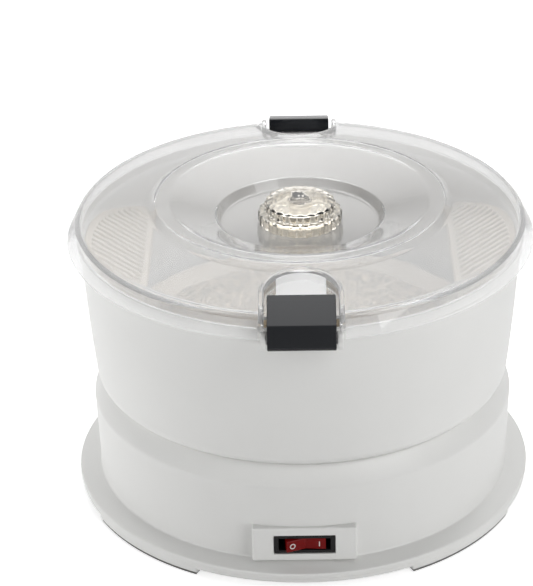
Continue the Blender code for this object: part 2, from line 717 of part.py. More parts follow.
def switch():
    """A black bezel set in the panel and a red rocker that turns on an upright axis."""
    face_y, face_z = switch_place()
    front = face_y + BEZEL_RECESS
    bezel = block(
        "switch_bezel",
        (-BEZEL_WIDTH / 2, front, face_z - BEZEL_HEIGHT / 2),
        (BEZEL_WIDTH / 2, front + BEZEL_LIP, face_z + BEZEL_HEIGHT / 2),
    )
    body_x = BEZEL_WIDTH / 2 - BEZEL_LIP
    body_z = BEZEL_HEIGHT / 2 - BEZEL_LIP
    join(bezel, block(
        "switch_body",
        (-body_x, front + BEZEL_LIP / 2, face_z - body_z),
        (body_x, front + BEZEL_DEPTH, face_z + body_z),
    ))
    hole_x = body_x - BEZEL_WALL
    hole_z = body_z - BEZEL_WALL / 2
    cut(bezel, block(
        "switch_cavity",
        (-hole_x, front - CUT_OVERRUN, face_z - hole_z),
        (hole_x, front + BEZEL_DEPTH - BEZEL_WALL, face_z + hole_z),
    ))
    as_part(bezel, base_station, BLACK)

    pivot_y = front + ROCKER_PIVOT_DEPTH
    rocker_station = station("rocker_station", (0, pivot_y, face_z), base_station)
    half = ROCKER_WIDTH / 2
    tilt = ROCKER_THROW / 2
    dip = half * math.tan(tilt)
    back = ROCKER_THICKNESS / 2
    face = ROCKER_PIVOT_DEPTH
    outline = [
        (-half, -face - dip),
        (0, -face + dip / 2),
        (half, -face - dip),
        (half, back),
        (0, back + dip / 2),
        (-half, back),
    ]
    height = hole_z - ROCKER_SIDE_CLEARANCE / 2
    rocker = plate("rocker_button", outline, -height, height, Matrix.Rotation(tilt, 4, "Z"))
    rocker.location = (0, pivot_y, face_z)
    as_part(rocker, rocker_station, RED)


def bearings():
    top = WELL_LEVEL - JOIN_DEPTH
    for name, low in (("upper_bush", top - BUSH_LENGTH), ("lower_bush", TUBE_LOW)):
        bush = ring(name, SHAFT_BORE_RADIUS, BUSH_RADIUS, low, low + BUSH_LENGTH)
        as_part(bush, base_station, BRONZE)


def coupling_lugs(name, low, top, turn):
    lugs = []
    for number in range(COUPLING_LUG_COUNT):
        angle = turn + math.tau * number / COUPLING_LUG_COUNT
        outline = sector(COUPLING_LUG_INNER_RADIUS, COUPLING_RADIUS, angle, COUPLING_LUG_SPAN, LUG_ARC_STEPS)
        lugs.append(plate(f"{name}_{number}", outline, low, top))
    return lugs


def spindle():
    """The upright shaft in the base with its large pulley below and its three-lug coupling above."""
    shaft_low = PULLEY_LOW - SPINDLE_TAIL
    shaft = rod("drive_spindle", SHAFT_RADIUS, shaft_low, BASE_COUPLING_HUB_TOP - GAP, SHAFT_FACETS)
    as_part(shaft, spindle_station, STEEL)

    coupling = ring("base_coupling", SHAFT_BORE_RADIUS, COUPLING_RADIUS, BASE_COUPLING_LOW,
                    BASE_COUPLING_HUB_TOP)
    lug_top = BASE_COUPLING_HUB_TOP + COUPLING_LUG_HEIGHT
    join(coupling, *coupling_lugs("base_lug", BASE_COUPLING_HUB_TOP - JOIN_DEPTH, lug_top, 0))
    as_part(coupling, spindle_station, BLACK)


def pulley(name, belt_radius, bore, facets, web=True):
    lip = belt_radius + PULLEY_LIP
    low = PULLEY_LOW
    top = PULLEY_TOP
    edge = [
        (lip, top),
        (lip, top - PULLEY_FLANGE),
        (belt_radius, top - PULLEY_FLANGE),
        (belt_radius, low + PULLEY_FLANGE),
        (lip, low + PULLEY_FLANGE),
        (lip, low),
    ]
    if not web:
        return turned(name, edge + [(bore, low), (bore, top)], facets, closed=True)
    inside = belt_radius - PULLEY_RIM_WALL
    web_low = (low + top - PULLEY_WEB) / 2
    web_top = web_low + PULLEY_WEB
    lower = [(inside, low), (inside, web_low), (PULLEY_HUB_RADIUS, web_low), (PULLEY_HUB_RADIUS, low)]
    upper = [(PULLEY_HUB_RADIUS, top), (PULLEY_HUB_RADIUS, web_top), (inside, web_top), (inside, top)]
    return turned(name, edge + lower + [(bore, low), (bore, top)] + upper, facets, closed=True)


def pulleys_and_belt():
    driven = pulley("driven_pulley", DRIVEN_PULLEY_RADIUS, SHAFT_BORE_RADIUS, MEDIUM_FACETS)
    hole_circle = (PULLEY_HUB_RADIUS + DRIVEN_PULLEY_RADIUS - PULLEY_RIM_WALL) / 2
    for number in range(PULLEY_HOLE_COUNT):
        place = on_circle(hole_circle, math.tau * number / PULLEY_HOLE_COUNT)
        cut(driven, rod(f"web_hole_{number}", PULLEY_HOLE_RADIUS, PULLEY_LOW, PULLEY_TOP, place=place))
    as_part(driven, spindle_station, BLACK)

    small = pulley("motor_pulley", MOTOR_PULLEY_RADIUS, MOTOR_SHAFT_BORE_RADIUS, SMALL_FACETS, web=False)
    small.location.x = MOTOR_OFFSET
    as_part(small, motor_station, STEEL)

    large = DRIVEN_PULLEY_RADIUS + GAP
    little = MOTOR_PULLEY_RADIUS + GAP
    lean = math.acos((large - little) / MOTOR_OFFSET)
    path = [(x, y) for x, y in arc(large, lean, math.tau - lean, BELT_ARC_STEPS)]
    path += [(x + MOTOR_OFFSET, y) for x, y in arc(little, -lean, lean, BELT_SMALL_ARC_STEPS)]
    mesh = bpy.data.meshes.new("drive_belt")
    half = (PULLEY_HEIGHT - 2 * PULLEY_FLANGE) / 2 - GAP
    middle = (PULLEY_LOW + PULLEY_TOP) / 2
    body = bmesh.new()
    lower = [body.verts.new((x, y, middle - half)) for x, y in path]
    loop = [body.edges.new((lower[i], lower[(i + 1) % len(lower)])) for i in range(len(lower))]
    raised = bmesh.ops.extrude_edge_only(body, edges=loop)["geom"]
    moved = [item for item in raised if isinstance(item, bmesh.types.BMVert)]
    bmesh.ops.translate(body, vec=(0, 0, 2 * half), verts=moved)
    bmesh.ops.recalc_face_normals(body, faces=body.faces)
    body.to_mesh(mesh)
    body.free()
    belt = shape("drive_belt", mesh)
    thick = belt.modifiers.new("thickness", "SOLIDIFY")
    thick.thickness = BELT_THICKNESS
    thick.offset = 1
    thick.use_even_offset = True
    as_part(belt, base_station, RUBBER)


def motor_low():
    return PULLEY_TOP + MOTOR_PULLEY_COLLAR


def bracket_screw_places():
    return [(MOTOR_OFFSET, -BRACKET_BOSS_SPREAD), (MOTOR_OFFSET, BRACKET_BOSS_SPREAD)]


def motor_can_top():
    return motor_low() + MOTOR_NOSE_HEIGHT + MOTOR_HEIGHT


def bracket_top():
    return motor_can_top() + GAP + BRACKET_THICKNESS


def bracket_screw_top():
    return bracket_top() + BRACKET_SCREW_LENGTH


def motor():
    """The can, its shaft and the sheet bracket that hangs it under the deck."""
    low = motor_low()
    can_low = low + MOTOR_NOSE_HEIGHT
    top = motor_can_top()
    bore = MOTOR_SHAFT_BORE_RADIUS
    bore_top = low + MOTOR_SHAFT_HIDDEN_LENGTH + 2 * GAP
    profile = [
        (0, top),
        (MOTOR_RADIUS - MOTOR_ROUND, top),
        (MOTOR_RADIUS, top - MOTOR_ROUND),
        (MOTOR_RADIUS, can_low + MOTOR_ROUND),
        (MOTOR_RADIUS - MOTOR_ROUND, can_low),
        (MOTOR_NOSE_RADIUS, can_low),
        (MOTOR_NOSE_RADIUS, low),
        (bore, low),
        (bore, bore_top),
        (0, bore_top),
    ]
    can = turned("motor_can", profile, MEDIUM_FACETS)
    can.location.x = MOTOR_OFFSET
    as_part(can, base_station, ZINC)

    shaft = rod("motor_shaft", MOTOR_SHAFT_RADIUS, PULLEY_LOW - GAP, low + MOTOR_SHAFT_HIDDEN_LENGTH,
                place=(MOTOR_OFFSET, 0))
    as_part(shaft, motor_station, STEEL)

    half_x = BRACKET_WIDTH / 2
    half_y = BRACKET_LENGTH / 2
    bracket = block(
        "motor_bracket",
        (MOTOR_OFFSET - half_x, -half_y, top + GAP),
        (MOTOR_OFFSET + half_x, half_y, bracket_top()),
    )
    hole = rod("bracket_hole", BRACKET_HOLE_RADIUS, top - CUT_OVERRUN, bracket_top() + CUT_OVERRUN,
               place=(MOTOR_OFFSET, 0))
    cut(bracket, hole)
    for number, place in enumerate(bracket_screw_places(), start=1):
        bore = SCREW_RADIUS + SCREW_BORE_CLEARANCE
        cut(bracket, rod(f"bracket_bore_{number}", bore, top - CUT_OVERRUN, bracket_top() + CUT_OVERRUN,
                         place=place))
        head_low = top - SCREW_HEAD_HEIGHT
        screw = rod(f"bracket_screw_{number}", SCREW_HEAD_RADIUS, head_low, top, place=place)
        join(screw, rod(f"bracket_shank_{number}", SCREW_RADIUS, top - SCREW_HEAD_HEIGHT / 2,
                        bracket_screw_top(), place=place))
        as_part(screw, base_station, ZINC)
    as_part(bracket, base_station, ZINC)


def terminal_block():
    """The block where the leads from the gland meet those of the switch and the motor."""
    low = COVER_TOP + GAP
    block_top = low + TERMINAL_HEIGHT
    terminal = block(
        "terminal_block",
        (-TERMINAL_LENGTH / 2, TERMINAL_OFFSET - TERMINAL_WIDTH / 2, low),
        (TERMINAL_LENGTH / 2, TERMINAL_OFFSET + TERMINAL_WIDTH / 2, block_top),
    )
    for number in range(TERMINAL_POLE_COUNT):
        x = TERMINAL_LENGTH * ((number + 0.5) / TERMINAL_POLE_COUNT - 0.5)
        pole_low = block_top - TERMINAL_POLE_DEPTH
        cut(terminal, rod(f"pole_{number}", TERMINAL_POLE_RADIUS, pole_low, block_top + CUT_OVERRUN,
                          place=(x, TERMINAL_OFFSET)))
    as_part(terminal, base_station, WHITE)


def bowl_wall(count=BOWL_WALL_STEPS):
    """Points down the bowl's outer wall, a slightly bulged taper, and round its foot."""
    top = BOWL_RIM - BOWL_RIM_BAND - BOWL_RIM_STEP
    low = BOWL_LOW + BOWL_FOOT_ROUND
    points = []
    for i in range(count + 1):
        share = i / count
        radius = BOWL_TOP_RADIUS + (BOWL_LOW_RADIUS - BOWL_TOP_RADIUS) * share
        radius += BOWL_BULGE * 4 * share * (1 - share)
        points.append((radius, top + (low - top) * share))
    for i in range(1, BOWL_FOOT_STEPS + 1):
        turn = math.radians(90) * i / BOWL_FOOT_STEPS
        radius = BOWL_LOW_RADIUS - BOWL_FOOT_ROUND * (1 - math.cos(turn))
        points.append((radius, low - BOWL_FOOT_ROUND * math.sin(turn)))
    return points


def bowl_profile():
    rim = [(BOWL_RIM_RADIUS, BOWL_RIM), (BOWL_RIM_RADIUS, BOWL_RIM - BOWL_RIM_BAND)]
    return rim + bowl_wall() + [(HUB_RADIUS - JOIN_DEPTH, BOWL_LOW)]


def ear_outline():
    """An ear round the pin, rooted in the bowl's wall below the rim: (outwards, up)."""
    corners = PIN_DISTANCE - EAR_RADIUS / 2
    wall = math.sqrt(BOWL_TOP_RADIUS**2 - EAR_INNER**2) - EAR_ROOT - BOWL_BULGE
    low = PIN_LEVEL - EAR_RADIUS
    nose = arc(EAR_RADIUS, math.radians(-90), math.radians(120), EAR_ARC_STEPS)
    outline = [(PIN_DISTANCE + x, PIN_LEVEL + z) for x, z in nose]
    shoulder = BOWL_RIM - BOWL_RIM_STEP
    return outline + [(outline[-1][0], shoulder), (wall, shoulder), (wall, low - EAR_RADIUS / 2), (corners, low)]


def bowl():
    bowl_shell = turned("bowl", bowl_profile(), wall=BOWL_WALL)
    tube = joined_ring("hub_tube", HUB_BORE_RADIUS, HUB_RADIUS, HUB_LOW, HUB_TOP)
    join(bowl_shell, tube)
    ring_outer = DECK_RADIUS - BOWL_RING_CLEARANCE
    ring_low = DECK_LEVEL + GAP
    join(bowl_shell, joined_ring("locating_ring", ring_outer - BOWL_RING_WIDTH, ring_outer, ring_low,
                                 BOWL_LOW + JOIN_DEPTH, LARGE_FACETS))
    for side, sign in (("left", -1), ("right", 1)):
        low, high = sorted((sign * EAR_INNER, sign * (EAR_INNER + EAR_WIDTH)))
        ear = plate(f"front_ear_{side}", ear_outline(), low, high, UPRIGHT)
        join(bowl_shell, ear, copy_turned(ear, f"rear_ear_{side}", math.pi))
    bore = pin_shape("front_pin_bore", PIN_RADIUS + PIN_BORE_CLEARANCE, CUT_OVERRUN)
    cut(bowl_shell, bore, copy_turned(bore, "rear_pin_bore", math.pi))
    as_part(bowl_shell, bowl_station, WHITE)


def pin_shape(name, radius, overrun=0):
    """A rod across the front, on the latch's axis."""
    half = EAR_INNER + EAR_WIDTH + overrun
    across = rod(name, radius, -half, half)
    body = bmesh.new()
    body.from_mesh(across.data)
    bmesh.ops.rotate(body, cent=(0, 0, 0), matrix=Matrix.Rotation(math.radians(90), 3, "Y"), verts=body.verts)
    body.to_mesh(across.data)
    body.free()
    across.location = (0, -PIN_DISTANCE, PIN_LEVEL)
    return across


def lid_surface():
    """The lid's outer surface from its middle to the skirt's edge, top to bottom."""
    return [
        (KNOB_STEM_RADIUS + KNOB_HOLE_CLEARANCE, LID_FLOOR),
        (LID_FLOOR_RADIUS, LID_FLOOR),
        (LID_WELL_RADIUS, LID_CONE_LOW),
        (LID_CONE_RADIUS, LID_TOP - LID_ROUND / 4),
        (LID_PLATEAU_START, LID_TOP),
        (LID_PLATEAU_RADIUS, LID_TOP),
        (LID_PLATEAU_RADIUS + LID_STEP_WIDTH, LID_STEP_LEVEL),
        (LID_EDGE_RADIUS, LID_EDGE_LEVEL),
        (SKIRT_TOP_RADIUS, SKIRT_TOP),
        (SKIRT_RADIUS, SKIRT_LOW),
    ]


def lid_height(radius):
    """The height of the lid's outer surface at a radius."""
    points = lid_surface()
    for (inner, start), (outer, end) in zip(points, points[1:]):
        if inner <= radius <= outer:
            return start + (end - start) * (radius - inner) / (outer - inner)
    return points[-1][1]


def pocket_outline(half_width, end):
    """A U open towards the edge, drawn as (x, y) at the front."""
    bend = [(x, y - POCKET_DISTANCE) for x, y in arc(half_width, 0, math.pi, POCKET_ARCH_STEPS)]
    return [(half_width, -end)] + bend + [(-half_width, -end)]


def lid_band(name, above, below):
    """A turned solid that follows the lid over the latch pockets, from above its surface to below it."""
    start = POCKET_DISTANCE - POCKET_HALF_WIDTH - CUT_OVERRUN
    radii = [start, LID_PLATEAU_RADIUS + LID_STEP_WIDTH, LID_EDGE_RADIUS, POCKET_OUTER_END + CUT_OVERRUN]
    upper = [(radius, lid_height(radius) + above) for radius in sorted(radii)]
    lower = [(radius, height - above - below) for radius, height in reversed(upper)]
    return turned(name, upper + lower, LARGE_FACETS, closed=True)


def pocket_liner():
    """The arch round the front latch with its lip, and the ledge that the hook holds."""
    floor_depth = POCKET_DEPTH + POCKET_FLOOR
    high = LID_TOP + CUT_OVERRUN + POCKET_LIP_RISE
    low = BOWL_RIM + GAP
    inner_half = POCKET_INNER_HALF_WIDTH
    liner = plate("pocket_liner", pocket_outline(POCKET_HALF_WIDTH, POCKET_OUTER_END), low, high)
    boolean(liner, lid_band("pocket_band", POCKET_LIP_RISE, floor_depth), "INTERSECT")
    inside = plate("pocket_inside", pocket_outline(inner_half, POCKET_OUTER_END + CUT_OVERRUN), low, high + CUT_OVERRUN)
    boolean(inside, lid_band("pocket_air", POCKET_LIP_RISE + CUT_OVERRUN, POCKET_DEPTH), "INTERSECT")
    cut(liner, inside)
    cut(liner, block(
        "pocket_mouth",
        (-inner_half, -POCKET_OUTER_END - CUT_OVERRUN, low - CUT_OVERRUN),
        (inner_half, -LEDGE_END, high + CUT_OVERRUN),
    ))
    return liner


def lid():
    shell = turned("lid", lid_surface(), wall=LID_WALL)
    ring_outer = BOWL_RIM_RADIUS - GAP * 2
    seat = joined_ring("seat_ring", ring_outer - SEAT_RING_WIDTH, ring_outer, BOWL_RIM + GAP,
                       lid_height(ring_outer) - LID_WALL / 2, LARGE_FACETS)
    join(shell, seat)
    middle = POCKET_HALF_WIDTH - POCKET_WALL / 2
    opening = plate("pocket_cut", pocket_outline(middle, SKIRT_RADIUS + CUT_OVERRUN), BOWL_RIM - POCKET_DEPTH,
                    LID_TOP + CUT_OVERRUN)
    liner = pocket_liner()
    notch = block(
        "skirt_gap",
        (-SKIRT_GAP_HALF_WIDTH, -SKIRT_RADIUS - CUT_OVERRUN, SKIRT_LOW - CUT_OVERRUN),
        (SKIRT_GAP_HALF_WIDTH, -POCKET_OUTER_END, LID_TOP),
    )
    for guide, add in ((opening, cut), (notch, cut), (liner, join)):
        for side, angle in (("front", 0), ("rear", math.pi)):
            add(shell, copy_turned(guide, f"{side}_{guide.name}", angle))
    for guide in (opening, liner, notch):
        bpy.data.objects.remove(guide, do_unlink=True)
    as_part(shell, lid_station, CLEAR)


def latch_outline():
    """The latch from the side: (outwards, up) from the pin, with a hook over the lid's ledge."""
    tip_reach = -LATCH_REACH
    hook_outer = tip_reach + HOOK_THICKNESS
    ledge = lid_height(PIN_DISTANCE - LATCH_REACH) - POCKET_DEPTH - PIN_LEVEL
    hook_low = ledge + HOOK_CLEARANCE
    slope = math.atan2(LATCH_RISE - LATCH_CREASE_RISE, LATCH_CREASE_OUT + LATCH_REACH)
    below = LATCH_THICKNESS / math.cos(slope)
    under_hook = LATCH_RISE - HOOK_THICKNESS * math.tan(slope) - below
    inner_face = LATCH_BARREL_RADIUS - LATCH_THICKNESS
    under_crease = LATCH_CREASE_RISE + (LATCH_CREASE_OUT - inner_face) * math.tan(slope) - below
    barrel_start = math.acos(inner_face / LATCH_BARREL_RADIUS)
    return arc(LATCH_BARREL_RADIUS, barrel_start, math.tau, BARREL_ARC_STEPS) + [
        (LATCH_CREASE_OUT, LATCH_CREASE_RISE),
        (tip_reach, LATCH_RISE),
        (tip_reach, hook_low),
        (hook_outer, hook_low),
        (hook_outer, under_hook),
        (inner_face, under_crease),
    ]


def latches():
    """Two dark levers on pins through the bowl's ears, whose hooks hold the lid's ledges."""
    lever = plate("latch_lever", latch_outline(), -LATCH_HALF_WIDTH, LATCH_HALF_WIDTH, UPRIGHT)
    lever.location = (0, -PIN_DISTANCE, PIN_LEVEL)
    rounded(lever, LATCH_ROUND, segments=1)
    cut(lever, pin_shape("latch_bore", PIN_RADIUS + PIN_BORE_CLEARANCE, CUT_OVERRUN))
    pin = pin_shape("latch_pin", PIN_RADIUS)
    for side, angle in (("front", 0), ("rear", math.pi)):
        place = Matrix.Rotation(angle, 4, "Z") @ Vector((0, -PIN_DISTANCE, PIN_LEVEL))
        axis = station(f"{side}_latch_station", place, bowl_station)
        as_part(copy_turned(lever, f"{side}_latch", angle), axis, DARK)
        as_part(copy_turned(pin, f"{side}_latch_pin", angle), bowl_station, STEEL)
    for guide in (lever, pin):
        bpy.data.objects.remove(guide, do_unlink=True)


def knob():
    """Two fluted tiers drawn up from one fluted ring, with a round stem through the lid."""
    per_flute = (0, 1, 1)
    count = KNOB_FLUTE_COUNT * len(per_flute)
    body = bmesh.new()
    start = bmesh.ops.create_circle(body, segments=count, radius=KNOB_LOW_RADIUS, cap_ends=False)["verts"]
    low_tier = KNOB_LOW + KNOB_LOW_HEIGHT
    high_tier = low_tier + KNOB_HIGH_HEIGHT
    levels = [
        (KNOB_LOW_RADIUS, KNOB_LOW, KNOB_FLUTE_DEPTH),
        (KNOB_LOW_RADIUS, low_tier, KNOB_FLUTE_DEPTH),
        (KNOB_HIGH_RADIUS, low_tier, KNOB_FLUTE_DEPTH),
        (KNOB_HIGH_RADIUS, high_tier, KNOB_FLUTE_DEPTH),
        (KNOB_TOP_RADIUS, high_tier + KNOB_TOP_ROUND, 0),
    ]

    def set_level(verts, radius, height, depth):
        for number, vert in enumerate(verts):
            reach = radius - depth * per_flute[number % len(per_flute)]
            x, y = on_circle(reach, math.tau * number / count)
            vert.co = (x, y, height)

    ring_verts = list(start)
    set_level(ring_verts, *levels[0])
    bmesh.ops.contextual_create(body, geom=ring_verts)
    for level in levels[1:]:
        edges = [body.edges.get((ring_verts[i], ring_verts[(i + 1) % count])) for i in range(count)]
        made = bmesh.ops.extrude_edge_only(body, edges=edges)["geom"]
        new_verts = {item for item in made if isinstance(item, bmesh.types.BMVert)}
        above = []
        for vert in ring_verts:
            above.append(next(e.other_vert(vert) for e in vert.link_edges if e.other_vert(vert) in new_verts))
        ring_verts = above
        set_level(ring_verts, *level)
    bmesh.ops.contextual_create(body, geom=ring_verts)
    bmesh.ops.recalc_face_normals(body, faces=body.faces)
    mesh = bpy.data.meshes.new("lid_knob")
    body.to_mesh(mesh)
    body.free()
    cap = shape("lid_knob", mesh)
    stem_low = KNOB_LOW - KNOB_STEM_LENGTH
    join(cap, rod("knob_stem", KNOB_STEM_RADIUS, stem_low, KNOB_LOW + JOIN_DEPTH, MEDIUM_FACETS))
    as_part(cap, knob_station, CLEAR)

    lid_underside = LID_FLOOR - LID_WALL
    bore = KNOB_STEM_RADIUS + NUT_CLEARANCE
    washer_top = lid_underside - GAP
    washer = ring("knob_washer", bore, WASHER_RADIUS, washer_top - WASHER_THICKNESS, washer_top)
    as_part(washer, knob_station, RUBBER)
    nut_top = washer_top - WASHER_THICKNESS - GAP
    nut = rod("knob_nut", NUT_WIDTH / math.sqrt(3), nut_top - NUT_HEIGHT, nut_top, 6)
    cut(nut, rod("nut_bore", bore, nut_top - NUT_HEIGHT - CUT_OVERRUN, nut_top + CUT_OVERRUN, MEDIUM_FACETS))
    as_part(nut, knob_station, CLEAR)


def bowl_cavity_radius(height):
    """The bowl's inner radius at a height on its wall."""
    points = bowl_wall()
    for (upper, top), (lower, low) in zip(points, points[1:]):
        if low <= height <= top:
            return lower + (upper - lower) * (height - low) / (top - low) - BOWL_WALL
    return points[0][0] - BOWL_WALL


def rasp_outline(back):
    """The wedge of the right-hand panel, with its back at a radius: (outwards, up)."""
    top_level = BOWL_RIM - RASP_TOP_DROP
    wall = bowl_cavity_radius(top_level) - GAP
    foot_level = BOWL_LOW + RASP_FOOT_RISE

    def ramp(x):
        return top_level - (wall - x) * math.tan(RASP_SLOPE)

    return [
        (RASP_NOSE, ramp(RASP_NOSE)),
        (RASP_NOSE, ramp(RASP_NOSE) - RASP_NOSE_HEIGHT),
        (wall - RASP_NOSE_HEIGHT, foot_level),
        (back, foot_level),
        (back, ramp(back)),
    ]


def inset_outline(outline, distance):
    """A convex outline, drawn anticlockwise, with every side moved in by a distance."""
    corners = []
    for number, corner in enumerate(outline):
        here = Vector(corner)
        before = (here - Vector(outline[number - 1])).normalized()
        after = (Vector(outline[(number + 1) % len(outline)]) - here).normalized()
        inwards = Vector((-before.y, before.x)) + Vector((-after.y, after.x))
        corners.append(tuple(here + inwards * distance / (1 + before.dot(after))))
    return corners


def rasp_panels():
    """Hollow wedges against the bowl's side walls, ribbed on their sloping faces, open at the back."""
    side_on = Matrix(((1, 0, 0, 0), (0, 0, -1, 0), (0, 1, 0, 0), (0, 0, 0, 1)))
    reach = BOWL_TOP_RADIUS
    points = [(radius - BOWL_WALL - GAP, height) for radius, height in bowl_wall()[: BOWL_WALL_STEPS + 1]]
    lowest = BOWL_LOW + BOWL_FOOT_ROUND
    plug = turned("bowl_plug", [(0, BOWL_RIM)] + [(points[0][0], BOWL_RIM)] + points + [(0, lowest)])
    margin = [(max(radius - RASP_RIB_MARGIN, 0), height) for radius, height in points]
    rib_plug = turned("rib_plug", [(0, BOWL_RIM)] + [(margin[0][0], BOWL_RIM)] + margin + [(0, lowest)])
    beyond = BOWL_TOP_RADIUS + 2 * CUT_OVERRUN
    wedge = plate("right_rasp_panel", rasp_outline(beyond), -reach, reach, side_on)
    boolean(wedge, plug, "INTERSECT")
    end_plug_radius = points[0][0] - RASP_WALL
    hollow = plate("rasp_hollow", inset_outline(rasp_outline(beyond + RASP_WALL), RASP_WALL), -reach, reach,
                   side_on)
    half_chord = math.sqrt(end_plug_radius**2 - (RASP_NOSE + RASP_WALL) ** 2) - RASP_WALL
    limit = block("rasp_hollow_limit", (0, -half_chord, 0), (reach * 2, half_chord, LID_TOP))
    boolean(hollow, limit, "INTERSECT")
    cut(wedge, hollow)
    start = RASP_NOSE + RASP_RIB_MARGIN
    top_level = BOWL_RIM - RASP_TOP_DROP
    wall = bowl_cavity_radius(top_level) - GAP
    ribs = None
    for number in range(RASP_RIB_COUNT):
        y = RASP_RIB_PITCH * (number - (RASP_RIB_COUNT - 1) / 2)
        low_z = top_level - (wall - start) * math.tan(RASP_SLOPE)
        rise = RASP_RIB_HEIGHT / math.cos(RASP_SLOPE)
        rib = plate(
            f"rib_{number}",
            [
                (start, low_z - RASP_WALL / 2),
                (wall, top_level - RASP_WALL / 2),
                (wall, top_level + rise),
                (start + rise, low_z + rise * (1 + math.tan(RASP_SLOPE))),
                (start, low_z),
            ],
            y - RASP_RIB_WIDTH / 2,
            y + RASP_RIB_WIDTH / 2,
            side_on,
        )
        boolean(rib, rib_plug, "INTERSECT")
        join(wedge, rib)
    left = copy_turned(wedge, "left_rasp_panel", math.pi)
    as_part(wedge, bowl_station, INNER_WHITE)
    as_part(left, bowl_station, INNER_WHITE)


def disc_profile():
    """Down the disc's outer side and back along its underside into the hub."""
    hub_ceiling = DISC_HUB_CEILING
    hub_top = hub_ceiling + DISC_SHAFT_SEAT + DISC_HUB_TOP - DISC_THICKNESS
    inner_hub = DISC_HUB_RADIUS - DISC_HUB_WALL
    rim_start = DISC_RADIUS - DISC_RIM_WIDTH
    return [
        (0, hub_top),
        (DISC_HUB_RADIUS - DISC_HUB_ROUND * 2, hub_top),
        (DISC_HUB_RADIUS, hub_top - DISC_HUB_ROUND),
        (DISC_HUB_RADIUS + DISC_THICKNESS / 2, DISC_TOP + DISC_THICKNESS),
        (DISC_HUB_RADIUS + DISC_THICKNESS * 2, DISC_TOP),
        (rim_start, DISC_TOP),
        (DISC_RADIUS, DISC_TOP + DISC_RIM_RISE),
        (DISC_RADIUS, DISC_TOP + DISC_RIM_RISE - DISC_THICKNESS),
        (rim_start, DISC_LOW),
        (inner_hub, DISC_LOW),
        (inner_hub, hub_ceiling),
        (SHAFT_BORE_RADIUS, hub_ceiling),
        (SHAFT_BORE_RADIUS, hub_ceiling + DISC_SHAFT_SEAT),
        (0, hub_ceiling + DISC_SHAFT_SEAT),
    ]


def ridge_angles():
    return [math.tau * number / RIDGE_COUNT + math.radians(90) for number in range(RIDGE_COUNT)]


def peeling_disc():
    disc = turned("peeling_disc", disc_profile())
    end = DISC_RADIUS - DISC_RIM_WIDTH
    for number, angle in enumerate(ridge_angles()):
        ridge = rod(f"ridge_{number}", RIDGE_HALF_WIDTH, RIDGE_START, end, SMALL_FACETS)
        flat = Matrix.Diagonal((1, (RIDGE_HEIGHT + DISC_THICKNESS / 2) / RIDGE_HALF_WIDTH, 1, 1))
        body = bmesh.new()
        body.from_mesh(ridge.data)
        bmesh.ops.transform(body, matrix=flat, verts=body.verts)
        bmesh.ops.translate(body, vec=(0, 0, (RIDGE_START + end) / 2), verts=body.verts)
        bmesh.ops.rotate(body, cent=(0, 0, 0), matrix=Matrix.Rotation(math.radians(90), 3, "X"), verts=body.verts)
        bmesh.ops.rotate(body, cent=(0, 0, 0), matrix=Matrix.Rotation(angle + math.radians(90), 3, "Z"),
                         verts=body.verts)
        body.to_mesh(ridge.data)
        body.free()
        ridge.location = (0, 0, DISC_TOP - DISC_THICKNESS / 2)
        below = block(f"ridge_base_{number}", (-DISC_RADIUS, -DISC_RADIUS, 0),
                      (DISC_RADIUS, DISC_RADIUS, DISC_LOW + DISC_THICKNESS / 3))
        cut(ridge, below)
        join(disc, ridge)
    as_part(disc, disc_station, INNER_WHITE)


def abrasive_pads():
    """Three grit-coated sectors bonded on the disc between its ridges."""
    outer = DISC_RADIUS - DISC_RIM_WIDTH - ABRASIVE_MARGIN
    inner = RIDGE_START + ABRASIVE_MARGIN
    keep = RIDGE_HALF_WIDTH + ABRASIVE_MARGIN
    share = math.tau / RIDGE_COUNT
    outer_span = share - 2 * math.asin(keep / outer)
    inner_span = share - 2 * math.asin(keep / inner)
    low = DISC_TOP + GAP
    for number, angle in enumerate(ridge_angles(), start=1):
        middle = angle + share / 2
        outline = arc(outer, middle - outer_span / 2, middle + outer_span / 2, PAD_ARC_STEPS)
        outline += arc(inner, middle + inner_span / 2, middle - inner_span / 2, PAD_INNER_ARC_STEPS)
        pad = plate(f"abrasive_pad_{number}", outline, low, low + ABRASIVE_THICKNESS)
        as_part(pad, disc_station, GRIT)


def disc_drive():
    """The shaft through the bowl's floor, the coupling half under it, and the bush and seal round it."""
    top = DISC_HUB_CEILING + DISC_SHAFT_SEAT - GAP
    shaft = rod("disc_shaft", SHAFT_RADIUS, BOWL_COUPLING_HUB_LOW + GAP, top)
    as_part(shaft, disc_station, STEEL)
    coupling = ring("bowl_coupling", SHAFT_BORE_RADIUS, COUPLING_RADIUS, BOWL_COUPLING_HUB_LOW,
                    BOWL_COUPLING_TOP)
    lug_low = BASE_COUPLING_HUB_TOP + COUPLING_END_CLEARANCE
    turn = math.pi / COUPLING_LUG_COUNT
    join(coupling, *coupling_lugs("bowl_lug", lug_low, BOWL_COUPLING_HUB_LOW + JOIN_DEPTH, turn))
    as_part(coupling, disc_station, BLACK)
    bush_low = HUB_LOW + GAP
    bush = ring("bowl_bush", SHAFT_BORE_RADIUS, BOWL_BUSH_RADIUS, bush_low, bush_low + BOWL_BUSH_LENGTH)
    as_part(bush, bowl_station, BRONZE)
    seal_top = HUB_TOP - GAP
    seal = ring("shaft_seal", SHAFT_BORE_RADIUS, BOWL_BUSH_RADIUS, seal_top - SEAL_HEIGHT, seal_top)
    as_part(seal, bowl_station, RUBBER)


bottom_cover()
foot_pads()
cover_screws()
base_housing()
cord_gland()
switch()
bearings()
spindle()
pulleys_and_belt()
motor()
terminal_block()
bowl()
rasp_panels()
peeling_disc()
abrasive_pads()
disc_drive()
lid()
knob()
latches()
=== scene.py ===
"""Electric potato peeler: a moulded motor base, a lift-off bowl with a turning disc, and a clear lid."""
import math

